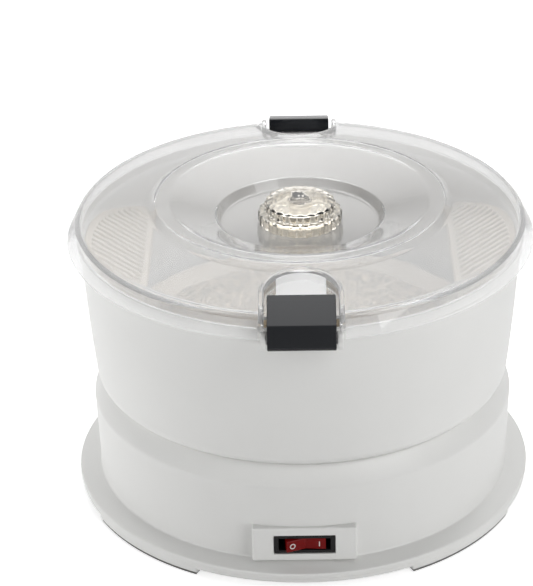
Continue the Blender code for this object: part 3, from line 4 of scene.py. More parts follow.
import bmesh
import bpy
from mathutils import Matrix, Vector


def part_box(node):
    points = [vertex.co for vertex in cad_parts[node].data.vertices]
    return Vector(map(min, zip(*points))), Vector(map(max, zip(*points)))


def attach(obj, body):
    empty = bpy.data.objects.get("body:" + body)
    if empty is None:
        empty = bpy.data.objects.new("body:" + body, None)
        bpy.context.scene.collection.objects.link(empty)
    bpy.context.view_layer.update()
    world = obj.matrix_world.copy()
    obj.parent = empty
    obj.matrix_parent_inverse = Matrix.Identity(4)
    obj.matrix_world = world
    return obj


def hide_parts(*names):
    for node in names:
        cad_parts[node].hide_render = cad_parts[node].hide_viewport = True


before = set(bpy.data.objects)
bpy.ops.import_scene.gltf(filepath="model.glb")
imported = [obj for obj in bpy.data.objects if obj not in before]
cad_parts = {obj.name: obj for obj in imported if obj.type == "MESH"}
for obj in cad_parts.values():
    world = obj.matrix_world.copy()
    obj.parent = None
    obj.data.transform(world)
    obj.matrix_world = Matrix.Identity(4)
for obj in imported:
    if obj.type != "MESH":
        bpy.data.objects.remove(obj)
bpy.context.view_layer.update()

# Camera
# It looks down at the front from a little over a metre away, through a long lens, and leans by less than a
# degree. Its distances were fitted to the rims of the lid, the bowl and the base.
def put_in_scene(name, data):
    made = bpy.data.objects.new(name, data)
    bpy.context.scene.collection.objects.link(made)
    return made


picture_width = 533
picture_height = 586
focal_length_in_pixels = 2349.4
aim_in_picture = (301.7, 332.3)
camera_distance = 1.344
camera_elevation = math.radians(28.65)
camera_lean = math.radians(0.79)
camera_aim = Vector((0, 0, 0.0875))
sensor_width = 36

lens = bpy.data.cameras.new("camera")
lens.sensor_fit = "AUTO"
lens.sensor_width = sensor_width
lens.lens = focal_length_in_pixels * sensor_width / picture_height
lens.shift_x = (picture_width / 2 - aim_in_picture[0]) / picture_height
lens.shift_y = (aim_in_picture[1] - picture_height / 2) / picture_height
lens.clip_start = 0.01
camera = put_in_scene("camera", lens)
back = Vector((0, -math.cos(camera_elevation), math.sin(camera_elevation)))
level_right = Vector((1, 0, 0))
level_up = back.cross(level_right)
right = level_right * math.cos(camera_lean) - level_up * math.sin(camera_lean)
up = level_right * math.sin(camera_lean) + level_up * math.cos(camera_lean)
turn_to_view = Matrix((right, up, back)).transposed()
camera.matrix_world = Matrix.Translation(camera_aim + back * camera_distance) @ turn_to_view.to_4x4()
bpy.context.scene.camera = camera
bpy.context.scene.view_settings.view_transform = "Standard"

# Floor and studio light
# A white sweep under soft boxes: three low ones at the sides, a high one on the right, and two behind. Camera
# and glass see the studio as white, gloss sees it brighten overhead, and a matt surface gets little from it.
def node(tree, kind, inputs=None, **settings):
    """Adds a shader node. An input is a value, an output, or a node whose first output is meant."""
    made = tree.nodes.new("ShaderNode" + kind)
    for name, value in settings.items():
        setattr(made, name, value)
    for name, value in (inputs or {}).items():
        if isinstance(value, bpy.types.Node):
            value = value.outputs[0]
        if isinstance(value, bpy.types.NodeSocket):
            tree.links.new(value, made.inputs[name])
        else:
            made.inputs[name].default_value = value
    return made


def linear(colour):
    """An sRGB hex colour as the linear values that shaders take."""
    channels = [int(colour[place:place + 2], 16) / 255 for place in (1, 3, 5)]
    return tuple(c / 12.92 if c <= 0.04045 else ((c + 0.055) / 1.055) ** 2.4 for c in channels) + (1.0,)


def new_material(name):
    material = bpy.data.materials.new(name)
    material.use_nodes = True
    material.node_tree.nodes.clear()
    return material, material.node_tree


def seen_directly(tree):
    """1 for a ray from the camera, also by way of gloss or glass, and 0 once a matt surface scattered it."""
    path = node(tree, "LightPath")
    seen = path.outputs["Is Camera Ray"]
    for ray in ("Is Glossy Ray", "Is Transmission Ray"):
        seen = node(tree, "Math", {0: seen, 1: path.outputs[ray]}, operation="MAXIMUM")
    direct = node(tree, "Math", {0: path.outputs["Diffuse Depth"], 1: 1.0}, operation="LESS_THAN")
    return path, node(tree, "Math", {0: seen, 1: direct}, operation="MULTIPLY")


def as_object(bm, name):
    mesh = bpy.data.meshes.new(name)
    bm.to_mesh(mesh)
    bm.free()
    return put_in_scene(name, mesh)


floor_radius = 1.3
floor_drop = 0.0001
floor_colour = "#f2f2f2"
floor_lift = 0.68
floor_gloss_share = 0.5
ambient_strength = 0.08
overhead_strength = 4.2
overhead_start = math.sin(math.radians(20))
overhead_end = math.sin(math.radians(72))

floor_material, tree = new_material("white_sweep")
path, seen = seen_directly(tree)
lift = node(tree, "MapRange", {
    "Value": path.outputs["Is Glossy Ray"], "To Min": floor_lift, "To Max": floor_lift * floor_gloss_share,
})
lift = node(tree, "Math", {0: seen, 1: lift}, operation="MULTIPLY")
matt = node(tree, "BsdfDiffuse", {"Color": linear(floor_colour)})
glow = node(tree, "Emission", {"Strength": lift})
top = node(tree, "AddShader", {0: matt, 1: glow})
below = node(tree, "BsdfTransparent")
side = node(tree, "NewGeometry")
both = node(tree, "MixShader", {0: side.outputs["Backfacing"], 1: top, 2: below})
node(tree, "OutputMaterial", {"Surface": both})
floor = bmesh.new()
bmesh.ops.create_circle(floor, cap_ends=True, segments=64, radius=floor_radius,
                        matrix=Matrix.Translation((0, 0, -floor_drop)))
floor = as_object(floor, "floor")
floor.data.materials.append(floor_material)

world = bpy.data.worlds.new("studio")
world.use_nodes = True
bpy.context.scene.world = world
tree = world.node_tree
tree.nodes.clear()
path, seen = seen_directly(tree)
height = node(tree, "SeparateXYZ", {"Vector": node(tree, "TexCoord").outputs["Generated"]})
overhead = node(tree, "MapRange", {
    "Value": height.outputs["Z"], "From Min": overhead_start, "From Max": overhead_end,
    "To Min": 1.0, "To Max": overhead_strength,
})
bright = node(tree, "MapRange", {
    "Value": path.outputs["Is Glossy Ray"], "To Min": 1.0, "To Max": overhead,
})
level = node(tree, "MapRange", {"Value": seen, "To Min": ambient_strength, "To Max": bright})
sky = node(tree, "Background", {"Color": (1.0, 1.0, 1.0, 1.0), "Strength": level})
node(tree, "OutputWorld", {"Surface": sky})

# Each soft box: its name, its place, its width and height, its power in watts, and whether gloss mirrors it
soft_boxes = (
    ("left_box", (-1.25, -0.55, 0.17), (1.1, 0.28), 6.0, False),
    ("left_side_box", (-1.35, -0.05, 0.17), (1.1, 0.28), 5.2, False),
    ("right_low_box", (1.0, -0.95, 0.17), (1.1, 0.28), 7.4, False),
    ("right_high_box", (0.95, -0.75, 1.05), (0.8, 0.8), 5.0, True),
    ("back_high_box", (0.0, 0.60, 1.35), (1.6, 0.7), 9.0, False),
    ("back_low_box", (0.15, 1.35, 0.85), (1.7, 0.8), 6.0, False),
)
for name, place, (width, height), power, mirrored in soft_boxes:
    lamp = bpy.data.lights.new(name, "AREA")
    lamp.shape = "RECTANGLE"
    lamp.size = width
    lamp.size_y = height
    lamp.energy = power
    holder = put_in_scene(name, lamp)
    holder.visible_glossy = mirrored
    holder.visible_transmission = False
    holder.location = place
    holder.rotation_euler = (Vector(place) - camera_aim).to_track_quat("Z", "Y").to_euler()

# Base housing
# The moulded ABS shell of the base: a deck with a well for the coupling, a shoulder, a wall and a flange. A
# panel for the switch stands out of the front, and a hole at the rear takes the gland.
def shaded(colour, share):
    """A linear colour made darker or paler."""
    return tuple(min(channel * share, 1) for channel in colour[:3]) + (1.0,)


def surface(name, colour, roughness, flow_width, flow_detail=1.0, tones=None, gloss=None, grain_width=None,
            grain_detail=2.0, grain_strength=0.1, grain_height=0, stretch=1, look=None):
    """A surface whose tone and gloss drift over a broad flow pattern, and whose fine grain stands as a bump.

    At the pattern's two ends the tones are shares of the colour, and the gloss is added to the roughness. A
    stretch draws the grain out across the height, and the look is what else the shader is set to.
    """
    material, tree = new_material(name)
    place = node(tree, "TexCoord").outputs["Object"]
    flow = node(tree, "TexNoise", {"Vector": place, "Scale": 1 / flow_width, "Detail": flow_detail})
    base = linear(colour)
    values = {"Base Color": base, "Roughness": roughness, **(look or {})}
    if tones:
        low, high = [shaded(base, share) for share in tones]
        tone = node(tree, "Mix", {"Factor": flow, "A": low, "B": high}, data_type="RGBA")
        values["Base Color"] = tone.outputs["Result"]
    if gloss:
        low, high = [roughness + change for change in gloss]
        values["Roughness"] = node(tree, "MapRange", {"Value": flow, "To Min": low, "To Max": high})
    if grain_width:
        if stretch > 1:
            place = node(tree, "Mapping", {"Vector": place, "Scale": (1, 1, stretch)})
        scale = 1 / (grain_width * stretch)
        grain = node(tree, "TexNoise", {"Vector": place, "Scale": scale, "Detail": grain_detail})
        values["Normal"] = node(tree, "Bump", {
            "Height": grain, "Strength": grain_strength, "Distance": grain_height,
        })
    node(tree, "OutputMaterial", {"Surface": node(tree, "BsdfPrincipled", values)})
    return material


def abs_plastic(name, colour, roughness):
    """ABS from a finely textured mould: even in colour, with a soft gloss that its grain breaks up."""
    return surface(name, colour, roughness, flow_width=0.030, tones=(0.975, 1), gloss=(-0.03, 0.04),
                   grain_width=0.0006, grain_height=0.00004, look={"IOR": 1.54, "Specular IOR Level": 0.35})


weld_distance = 1e-6


def turned(path, steps=128, closed=False, sweep=math.tau):
    """A shape turned about the main axis from (radius, height) points. An open one faces away from it."""
    bm = bmesh.new()
    verts = [bm.verts.new((radius, 0, height)) for radius, height in path]
    edges = [bm.edges.new(pair) for pair in zip(verts, verts[1:])]
    if closed:
        edges.append(bm.edges.new((verts[-1], verts[0])))
    bmesh.ops.spin(bm, geom=verts + edges, cent=(0, 0, 0), axis=(0, 0, 1), angle=sweep, steps=steps,
                   use_merge=sweep == math.tau)
    bmesh.ops.remove_doubles(bm, verts=bm.verts, dist=weld_distance)
    bmesh.ops.recalc_face_normals(bm, faces=bm.faces)
    bm.normal_update()
    rim_face = max(bm.faces, key=lambda face: face.calc_center_median().xy.length)
    if rim_face.normal.xy.dot(rim_face.calc_center_median().xy) < 0:
        bmesh.ops.reverse_faces(bm, faces=bm.faces)
    return bm


def soften(bm, width, segments=3, angle=25):
    """Rounds every edge that is sharper than an angle."""
    sharp = [e for e in bm.edges if len(e.link_faces) == 2 and e.calc_face_angle(0) > math.radians(angle)]
    bmesh.ops.bevel(bm, geom=sharp, offset=width, affect="EDGES", segments=segments, profile=0.5,
                    material=-1, clamp_overlap=True)
    return bm


def box_shape(low, high, round_width=0):
    """A block between two corners, with rounded edges if a width is given."""
    low, high = Vector(low), Vector(high)
    bm = bmesh.new()
    bmesh.ops.create_cube(bm, size=1, matrix=Matrix.LocRotScale((high + low) / 2, None, high - low))
    return soften(bm, round_width) if round_width else bm


def rod_shape(radius, low, high, place=(0, 0), segments=32):
    """An upright cylinder at a place."""
    bm = bmesh.new()
    bmesh.ops.create_cone(bm, cap_ends=True, segments=segments, radius1=radius, radius2=radius,
                          depth=high - low, matrix=Matrix.Translation((*place, (high + low) / 2)))
    return bm


def placed(bm, matrix):
    """A shape moved and turned by a matrix."""
    bmesh.ops.transform(bm, matrix=matrix, verts=bm.verts)
    return bm


def combine(piece, operation, *shapes):
    """Joins or cuts a piece with other shapes, which are used up."""
    for bm in shapes:
        tool = as_object(bm, "tool")
        step = piece.modifiers.new("combine", "BOOLEAN")
        step.operation = operation
        step.object = tool
        step.solver = "MANIFOLD"
        settle(piece)
        bpy.data.objects.remove(tool, do_unlink=True)


def settle(piece):
    """Makes the effect of a piece's modifiers its own mesh."""
    bpy.context.view_layer.update()
    graph = bpy.context.evaluated_depsgraph_get()
    mesh = bpy.data.meshes.new_from_object(piece.evaluated_get(graph))
    piece.modifiers.clear()
    piece.data = mesh


def give_wall(piece, thickness):
    wall = piece.modifiers.new("wall", "SOLIDIFY")
    wall.thickness = thickness
    wall.offset = -1
    wall.use_even_offset = True
    wall.use_quality_normals = True
    settle(piece)


def dress(piece, material, smooth_angle=35):
    piece.data.materials.clear()
    piece.data.materials.append(material)
    piece.data.shade_smooth()
    piece.data.set_sharp_from_angle(angle=math.radians(smooth_angle))


clearance = 0.0003
overrun = 0.002
housing_low, housing_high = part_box("base_housing")
housing_wall = 0.0026
flange_radius = housing_high.x
flange_edge = 0.0026
flange_rise = 0.0016
wall_low_radius = 0.1180
wall_top_radius = 0.1195
rim_level = housing_high.z
shoulder_level = rim_level - 0.0108
rim_radius = 0.1112
deck_radius = 0.1000
deck_level = rim_level - 0.0041
well_radius = 0.0165
well_level = deck_level - 0.0142
well_bore_radius = 0.0080
housing_round = 0.0011
panel_low = Vector((-0.0283, -0.12095, 0.0125))
panel_high = Vector((0.0283, -0.1119, 0.0331))
panel_round = 0.0012
bezel_low, bezel_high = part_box("switch_bezel")
bezel_lip = 0.0012
gland_low, gland_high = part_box("cord_gland")
gland_level = (gland_low.z + gland_high.z) / 2
gland_hole_radius = 0.0068

# Lays an upright shape down, from the front to the rear, at the level of the gland
to_gland = Matrix.Translation((0, 0, gland_level)) @ Matrix.Rotation(math.radians(90), 4, "X")

white_abs = abs_plastic("white_moulded_abs", "#e3e3e1", roughness=0.33)
housing = as_object(soften(turned([
    (well_bore_radius, well_level),
    (well_radius, well_level),
    (well_radius, deck_level),
    (deck_radius, deck_level),
    (deck_radius + rim_level - deck_level, rim_level),
    (rim_radius, rim_level),
    (wall_top_radius, shoulder_level),
    (wall_low_radius, housing_low.z + flange_edge + flange_rise),
    (flange_radius, housing_low.z + flange_edge),
    (flange_radius, housing_low.z),
]), housing_round), "base_shell")
give_wall(housing, housing_wall)
combine(housing, "UNION", box_shape(panel_low, panel_high, panel_round))
around = Vector((clearance, 0, clearance))
recess_low = bezel_low - around
recess_low.y = panel_low.y - overrun
recess_high = bezel_high + around
recess_high.y = bezel_low.y + bezel_lip + clearance
lip = Vector((bezel_lip, 0, bezel_lip))
hole_high = recess_high - lip
hole_high.y = bezel_high.y + overrun
combine(housing, "DIFFERENCE", box_shape(recess_low, recess_high), box_shape(recess_low + lip, hole_high))
gland_hole = rod_shape(gland_hole_radius, -gland_high.y - overrun, -gland_low.y)
combine(housing, "DIFFERENCE", placed(gland_hole, to_gland))
dress(housing, white_abs)
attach(housing, "base")
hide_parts("base_housing")

# Bottom cover
# A flat moulded ABS disc that closes the base. It has four arc feet, a sunk hole for each screw and slots
# under the motor, and four screws hold it.
cover_low, cover_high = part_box("bottom_cover")
cover_radius = cover_high.x
cover_thickness = 0.0026
foot_width = 0.0110
foot_span = math.radians(36)
foot_angles = [math.radians(angle) for angle in (45, 135, 225, 315)]
foot_round = 0.0008
screw_nodes = [f"cover_screw_{number}" for number in range(1, 5)]
screw_sink_radius = 0.0033
vent_size = (0.030, 0.0030)
vent_pitch = 0.0080
vent_offset = 0.0640
vent_count = 5

plate_low = cover_high.z - cover_thickness
cover = as_object(soften(turned([
    (0, cover_high.z), (cover_radius, cover_high.z), (cover_radius, plate_low), (0, plate_low),
]), foot_round / 2), "cover_plate")


def ring_shape(inner, outer, low, high, steps=64, sweep=math.tau):
    """A square-edged ring round the main axis, or a part of one."""
    return turned([(inner, low), (outer, low), (outer, high), (inner, high)], steps, closed=True, sweep=sweep)


def turned_round(bm, angle):
    """A shape turned about the main axis, to the rear for instance."""
    return placed(bm, Matrix.Rotation(angle, 4, "Z"))


def arc_bar(inner, outer, low, high, middle, span, round_width):
    """A bar bent round the main axis, such as a foot."""
    bm = ring_shape(inner, outer, low, high, steps=20, sweep=span)
    bmesh.ops.edgeloop_fill(bm, edges=[edge for edge in bm.edges if edge.is_boundary])
    bmesh.ops.recalc_face_normals(bm, faces=bm.faces)
    return soften(turned_round(bm, middle - span / 2), round_width)


for angle in foot_angles:
    combine(cover, "UNION", arc_bar(cover_radius - foot_width, cover_radius - clearance, cover_low.z,
                                    plate_low + foot_round, angle, foot_span, foot_round))
for name in screw_nodes:
    low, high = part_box(name)
    place = (low + high).xy / 2
    sunk_hole = rod_shape(screw_sink_radius, cover_low.z - overrun, cover_high.z + overrun, place)
    combine(cover, "DIFFERENCE", sunk_hole)
for number in range(vent_count):
    y = vent_pitch * (number - (vent_count - 1) / 2)
    half = Vector((vent_size[0] / 2, vent_size[1] / 2, 0))
    middle = Vector((vent_offset, y, plate_low))
    rise = Vector((0, 0, cover_thickness + overrun))
    combine(cover, "DIFFERENCE", box_shape(middle - half - rise, middle + half + rise))
dress(cover, white_abs)
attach(cover, "base")
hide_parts("bottom_cover")

# Foot pads
# Four arcs of dark rubber, bonded under the feet, so that the machine doesn't creep over the worktop. Moulded
# rubber is dull and finely pitted, with a little dust that makes it uneven.
dark_rubber = surface(
    "dark_grey_rubber", "#5a5a58", roughness=0.82, flow_width=0.006, flow_detail=4.0, tones=(1, 1.5),
    grain_width=0.0005, grain_detail=3.0, grain_strength=0.3, grain_height=0.0001, look={"IOR": 1.52})
pad_margin = 0.0010
pad_outer = cover_radius - pad_margin
pad_inner = cover_radius - foot_width + pad_margin
pad_span = foot_span - 2 * pad_margin / pad_outer
pad_round = 0.0003
for name, angle in zip(("rear_right", "rear_left", "front_left", "front_right"), foot_angles):
    low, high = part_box(f"foot_pad_{name}")
    pad = arc_bar(pad_inner, pad_outer, low.z, high.z, angle, pad_span, pad_round)
    pad = as_object(pad, f"rubber_foot_{name}")
    dress(pad, dark_rubber)
    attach(pad, "base")
    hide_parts(f"foot_pad_{name}")

# Cover screws
# Four pan-head screws of zinc-plated steel, each with a cross in its head. They are driven up through the
# sunk holes of the cover into the posts of the housing.
def bare_metal(name, colour, roughness):
    """Plated, turned or sintered metal: a dull shine with faint cloudy patches and fine tool lines."""
    return surface(name, colour, roughness, flow_width=0.004, flow_detail=3.0, tones=(0.85, 1),
                   gloss=(0, 0.12), grain_width=0.00025, grain_strength=0.15, grain_height=0.00003,
                   stretch=8, look={"Metallic": 1.0})


zinc_plate = bare_metal("zinc_plated_steel", "#c4c4c2", roughness=0.34)
screw_head_height = 0.0011
screw_head_round = 0.0005
slot_length = 0.0034
slot_width = 0.0007
slot_depth = 0.0007
shank_radius = 0.0015
for name in screw_nodes:
    low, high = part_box(name)
    place = (low + high).xy / 2
    head_face = Vector((*place, low.z))
    head_high = low.z + screw_head_height
    screw = soften(rod_shape((high.x - low.x) / 2, low.z, head_high, place, segments=40), screw_head_round)
    screw = as_object(screw, f"{name}_cross_head")
    combine(screw, "UNION", rod_shape(shank_radius, head_high - clearance, high.z, place, segments=24))
    for across, along in ((slot_length, slot_width), (slot_width, slot_length)):
        half = Vector((across / 2, along / 2, slot_depth))
        combine(screw, "DIFFERENCE", box_shape(head_face - half, head_face + half))
    dress(screw, zinc_plate)
    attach(screw, "base")
    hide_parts(name)

# Cord gland
# A flanged sleeve of black polyamide, pushed into the rear wall from outside. Its bore is open, and nothing
# runs through it here.
def dark_plastic(name, colour, roughness):
    """Black polyamide or dark ABS: a satin or gloss that still shows a pale, fine-grained highlight."""
    return surface(name, colour, roughness, flow_width=0.0005, flow_detail=3.0, gloss=(-0.05, 0.08),
                   grain_width=0.0005, grain_detail=3.0, grain_strength=0.15, grain_height=0.00005,
                   look={"IOR": 1.53, "Specular IOR Level": 0.2})


black_polyamide = dark_plastic("black_polyamide", "#1b1a1b", roughness=0.38)
gland_flange_radius = (gland_high.x - gland_low.x) / 2
gland_flange = 0.0020
gland_sleeve_radius = 0.0065
gland_bore_radius = 0.0036
gland_round = 0.0005
gland = soften(turned([
    (gland_bore_radius, -gland_low.y),
    (gland_sleeve_radius, -gland_low.y),
    (gland_sleeve_radius, gland_flange - gland_high.y),
    (gland_flange_radius, gland_flange - gland_high.y),
    (gland_flange_radius, -gland_high.y),
    (gland_bore_radius, -gland_high.y),
], steps=64, closed=True), gland_round)
gland = as_object(placed(gland, to_gland), "gland_sleeve")
dress(gland, black_polyamide)
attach(gland, "base")
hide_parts("cord_gland")

# Switch bezel
# The black frame and body of the mains switch, moulded in one of polyamide. It snaps into the panel at the
# front of the housing.
bezel_wall = 0.0012
bezel_round = 0.0004
body_low = bezel_low + Vector((bezel_lip, bezel_lip / 2, bezel_lip))
body_high = bezel_high - Vector((bezel_lip, 0, bezel_lip))
frame_high = Vector((bezel_high.x, bezel_low.y + bezel_lip, bezel_high.z))
cavity_low = body_low + Vector((bezel_wall, -overrun, bezel_wall / 2))
cavity_high = body_high - Vector((bezel_wall, bezel_wall, bezel_wall / 2))
bezel = as_object(box_shape(bezel_low, frame_high, bezel_round), "switch_frame")
combine(bezel, "UNION", box_shape(body_low, body_high))
combine(bezel, "DIFFERENCE", box_shape(cavity_low, cavity_high))
dress(bezel, black_polyamide)
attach(bezel, "base")
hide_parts("switch_bezel")

# Rocker
# The red button of the switch, moulded of tinted polycarbonate. It tips about an upright pin in the frame,
# and O and I are printed in white at its two ends.
def slab(outline, low, high, turn=None, round_width=0):
    """A flat outline of (x, y) points with a thickness along Z, turned into its place."""
    bm = bmesh.new()
    face = bm.faces.new([bm.verts.new((x, y, low)) for x, y in outline])
    raised = bmesh.ops.extrude_face_region(bm, geom=[face], use_keep_orig=True)["geom"]
    moved = [item for item in raised if isinstance(item, bmesh.types.BMVert)]
    bmesh.ops.translate(bm, vec=(0, 0, high - low), verts=moved)
    if turn is not None:
        placed(bm, turn)
    bmesh.ops.recalc_face_normals(bm, faces=bm.faces)
    return soften(bm, round_width) if round_width else bm


# Glossy polycarbonate, tinted through: light goes a little way in, so that its edges glow
red_polycarbonate = surface(
    "red_polycarbonate", "#700606", roughness=0.18, flow_width=0.004, gloss=(0, 0.06), look={
        "IOR": 1.585, "Specular IOR Level": 0.12,
        "Subsurface Weight": 0.15, "Subsurface Radius": (0.0010, 0.0002, 0.0002), "Subsurface Scale": 1.0,
    })
rocker_half = 0.02150 / 2
rocker_tilt = math.radians(9)
rocker_face = 0.0042
rocker_back = 0.0023
rocker_round = 0.0005
rocker_dip = rocker_half * math.tan(rocker_tilt)
rocker_low, rocker_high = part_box("rocker_button")
rocker_height = (rocker_high.z - rocker_low.z) / 2
rocker_middle = (rocker_high.z + rocker_low.z) / 2
pivot = Vector((0, bezel_low.y + rocker_face, rocker_middle))
to_pivot = Matrix.Translation(pivot) @ Matrix.Rotation(rocker_tilt, 4, "Z")
rocker = as_object(slab([
    (-rocker_half, -rocker_face - rocker_dip),
    (0, -rocker_face + rocker_dip / 2),
    (rocker_half, -rocker_face - rocker_dip),
    (rocker_half, rocker_back),
    (0, rocker_back + rocker_dip / 2),
    (-rocker_half, rocker_back),
], -rocker_height, rocker_height, to_pivot, rocker_round), "red_rocker")
dress(rocker, red_polycarbonate)
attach(rocker, "rocker")
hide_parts("rocker_button")

# Pad-printed ink: a thin matt film with slightly uneven cover
white_ink = surface("white_print", "#dcd6d2", roughness=0.5, flow_width=0.0004, tones=(0.85, 1))
mark_share = 0.68
mark_proud = 0.00006
mark_line = 0.00055
mark_radius = 0.0011
mark_half_height = 0.00154
face_rise = rocker_dip * 1.5
stand = Matrix.Rotation(math.radians(90), 4, "X")
ring = ring_shape(mark_radius, mark_radius + mark_line, -mark_proud, mark_proud, steps=32)
stroke_corner = Vector((mark_line / 2, mark_half_height, mark_proud))
stroke = box_shape(-stroke_corner, stroke_corner)
for name, side, mark in (("mark_off", -1, ring), ("mark_on", 1, stroke)):
    face_middle = (side * rocker_half * mark_share, rocker_dip / 2 - rocker_face - face_rise * mark_share, 0)
    lean = Matrix.Rotation(-side * math.atan2(face_rise, rocker_half), 4, "Z")
    on_face = to_pivot @ Matrix.Translation(face_middle) @ lean @ stand
    mark = as_object(placed(mark, on_face), name)
    dress(mark, white_ink)
    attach(mark, "rocker")

# Bowl
# A tub of the base's white ABS, with a bulged, tapered wall, a rim band, and ears for the latch pins. It
# lifts off: a ring below drops into the deck, and a tube in the middle of its floor carries the disc's shaft.
bowl_underside = rim_level + clearance
bowl_rim = bowl_underside + 0.0876
bowl_wall = 0.0026
bowl_rim_radius = 0.1240
bowl_band = 0.0055
bowl_band_step = 0.0012
bowl_top_radius = 0.1226
bowl_low_radius = 0.1174
bowl_bulge = 0.0006
bowl_foot_round = 0.0080
bowl_round = 0.0007
bowl_wall_steps = 10
bowl_foot_steps = 8
locating_ring_width = 0.0026
locating_ring_clearance = 0.0008
hub_radii = (0.0067, 0.0103)
hub_levels = (0.0654, 0.0899)


def arc(middle, radius, start, end, steps):
    """Points along an arc round a middle, from one angle to another."""
    angles = [start + (end - start) * number / steps for number in range(steps + 1)]
    return [(middle[0] + radius * math.cos(turn), middle[1] + radius * math.sin(turn)) for turn in angles]


def bowl_side():
    """The outer wall below the rim band and round the foot, top to bottom."""
    top = bowl_rim - bowl_band - bowl_band_step
    low = bowl_underside + bowl_foot_round
    points = []
    for number in range(bowl_wall_steps + 1):
        share = number / bowl_wall_steps
        bulge = bowl_bulge * 4 * share * (1 - share)
        radius = bowl_top_radius + (bowl_low_radius - bowl_top_radius) * share + bulge
        points.append((radius, top + (low - top) * share))
    foot_middle = (bowl_low_radius - bowl_foot_round, low)
    return points + arc(foot_middle, bowl_foot_round, 0, math.radians(-90), bowl_foot_steps)[1:]


def joined_ring(inner, outer, low, high, steps=128):
    """A ring that grows out of a turned shell, turned by half a step so that no edges of the two meet."""
    return turned_round(ring_shape(inner, outer, low, high, steps), math.pi / steps)


bowl = as_object(soften(turned(
    [(bowl_rim_radius, bowl_rim), (bowl_rim_radius, bowl_rim - bowl_band)]
    + bowl_side() + [(hub_radii[1] - bowl_wall, bowl_underside)]
), bowl_round, angle=20), "bowl_shell")
give_wall(bowl, bowl_wall)
locating_outer = deck_radius - locating_ring_clearance
locating_ring = joined_ring(locating_outer - locating_ring_width, locating_outer, deck_level + clearance,
                            bowl_underside + bowl_wall / 2)
combine(bowl, "UNION", joined_ring(*hub_radii, *hub_levels), locating_ring)

latch_low, latch_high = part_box("front_latch")
pin_low, pin_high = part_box("front_latch_pin")
pin_distance = -(pin_low.y + pin_high.y) / 2
pin_level = (pin_low.z + pin_high.z) / 2
pin_bore_radius = 0.0018
ear_radius = 0.0044
ear_width = 0.0029
ear_outer = pin_high.x
ear_round = 0.0004
ear_root = 0.0010
ear_shoulder = bowl_rim - 0.0012
ear_steps = 16
on_pin = Matrix.Translation((0, -pin_distance, pin_level))

# Stands an outline of (distance to the front, height) upright, with its thickness across the front
stand_across = Matrix(((0, 0, 1, 0), (-1, 0, 0, 0), (0, 1, 0, 0), (0, 0, 0, 1)))


def across_shape(radius, half_length):
    """A rod across the front, on the axis of the front latch."""
    rod = rod_shape(radius, -half_length, half_length)
    return placed(rod, on_pin @ Matrix.Rotation(math.radians(90), 4, "Y"))


ear_outline = arc((pin_distance, pin_level), ear_radius, math.radians(-90), math.radians(120), ear_steps)
ear_wall = math.sqrt(bowl_top_radius ** 2 - (ear_outer - ear_width) ** 2) - ear_root
ear_outline += [
    (ear_outline[-1][0], ear_shoulder),
    (ear_wall, ear_shoulder),
    (ear_wall, pin_level - ear_radius * 1.5),
    (pin_distance - ear_radius / 2, pin_level - ear_radius),
]
for turn in (0, math.pi):
    for left, right in ((-ear_outer, ear_width - ear_outer), (ear_outer - ear_width, ear_outer)):
        combine(bowl, "UNION", turned_round(slab(ear_outline, left, right, stand_across, ear_round), turn))
    combine(bowl, "DIFFERENCE", turned_round(across_shape(pin_bore_radius, ear_outer + overrun), turn))
dress(bowl, white_abs)
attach(bowl, "bowl")
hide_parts("bowl")

# Rasp panels
# Two hollow wedges of white polypropylene, welded to the side walls of the bowl. The ribs down their slopes
# scrape what turns against them and throw it back to the middle.

# Natural polypropylene: waxy and slightly see-through at its edges, with a soft satin surface
# Its colour is greyed and warmed: painted shade and painted warm bounce light inside the bowl
polypropylene_painted_shade = surface(
    "polypropylene_painted_shade", "#d0c6b8", roughness=0.42, flow_width=0.020, flow_detail=2.0, tones=(0.96, 1),
    grain_width=0.0008, grain_strength=0.12, grain_height=0.00006, look={
        "IOR": 1.49,
        "Subsurface Weight": 0.10, "Subsurface Radius": (0.0012, 0.0010, 0.0008), "Subsurface Scale": 1.0,
    })
rasp_slope = math.radians(33.7)
rasp_top = bowl_rim - 0.0060
rasp_foot = 0.0974
rasp_nose = 0.0860
rasp_nose_height = 0.0060
rasp_wall = 0.0024
rasp_round = 0.0008
rib_count = 25
rib_pitch = 0.0055
rib_width = 0.0026
rib_height = 0.0015
rib_margin = 0.0032
rib_start = rasp_nose + rib_margin
rib_round = 0.0004
wall_points = bowl_side()[:bowl_wall_steps + 1]
cavity = [(radius - bowl_wall - clearance, height) for radius, height in wall_points]
rasp_reach = cavity[0][0]

# Stands an outline of (distance to the right, height) upright, with its thickness from the front to the rear
stand_along = Matrix(((1, 0, 0, 0), (0, 0, -1, 0), (0, 1, 0, 0), (0, 0, 0, 1)))


def ramp(x):
    return rasp_top - (rasp_reach - x) * math.tan(rasp_slope)


def rasp_outline(inset):
    """The wedge of the right panel seen from the front, with every side moved in."""
    side = inset / math.cos(rasp_slope)
    nose = rasp_nose + inset
    return [
        (nose, ramp(nose) - side),
        (nose, ramp(rasp_nose) - rasp_nose_height + inset / 3),
        (rasp_reach - rasp_nose_height + inset / 2, rasp_foot + inset),
        (bowl_rim_radius, rasp_foot + inset),
        (bowl_rim_radius, ramp(bowl_rim_radius) - side),
    ]


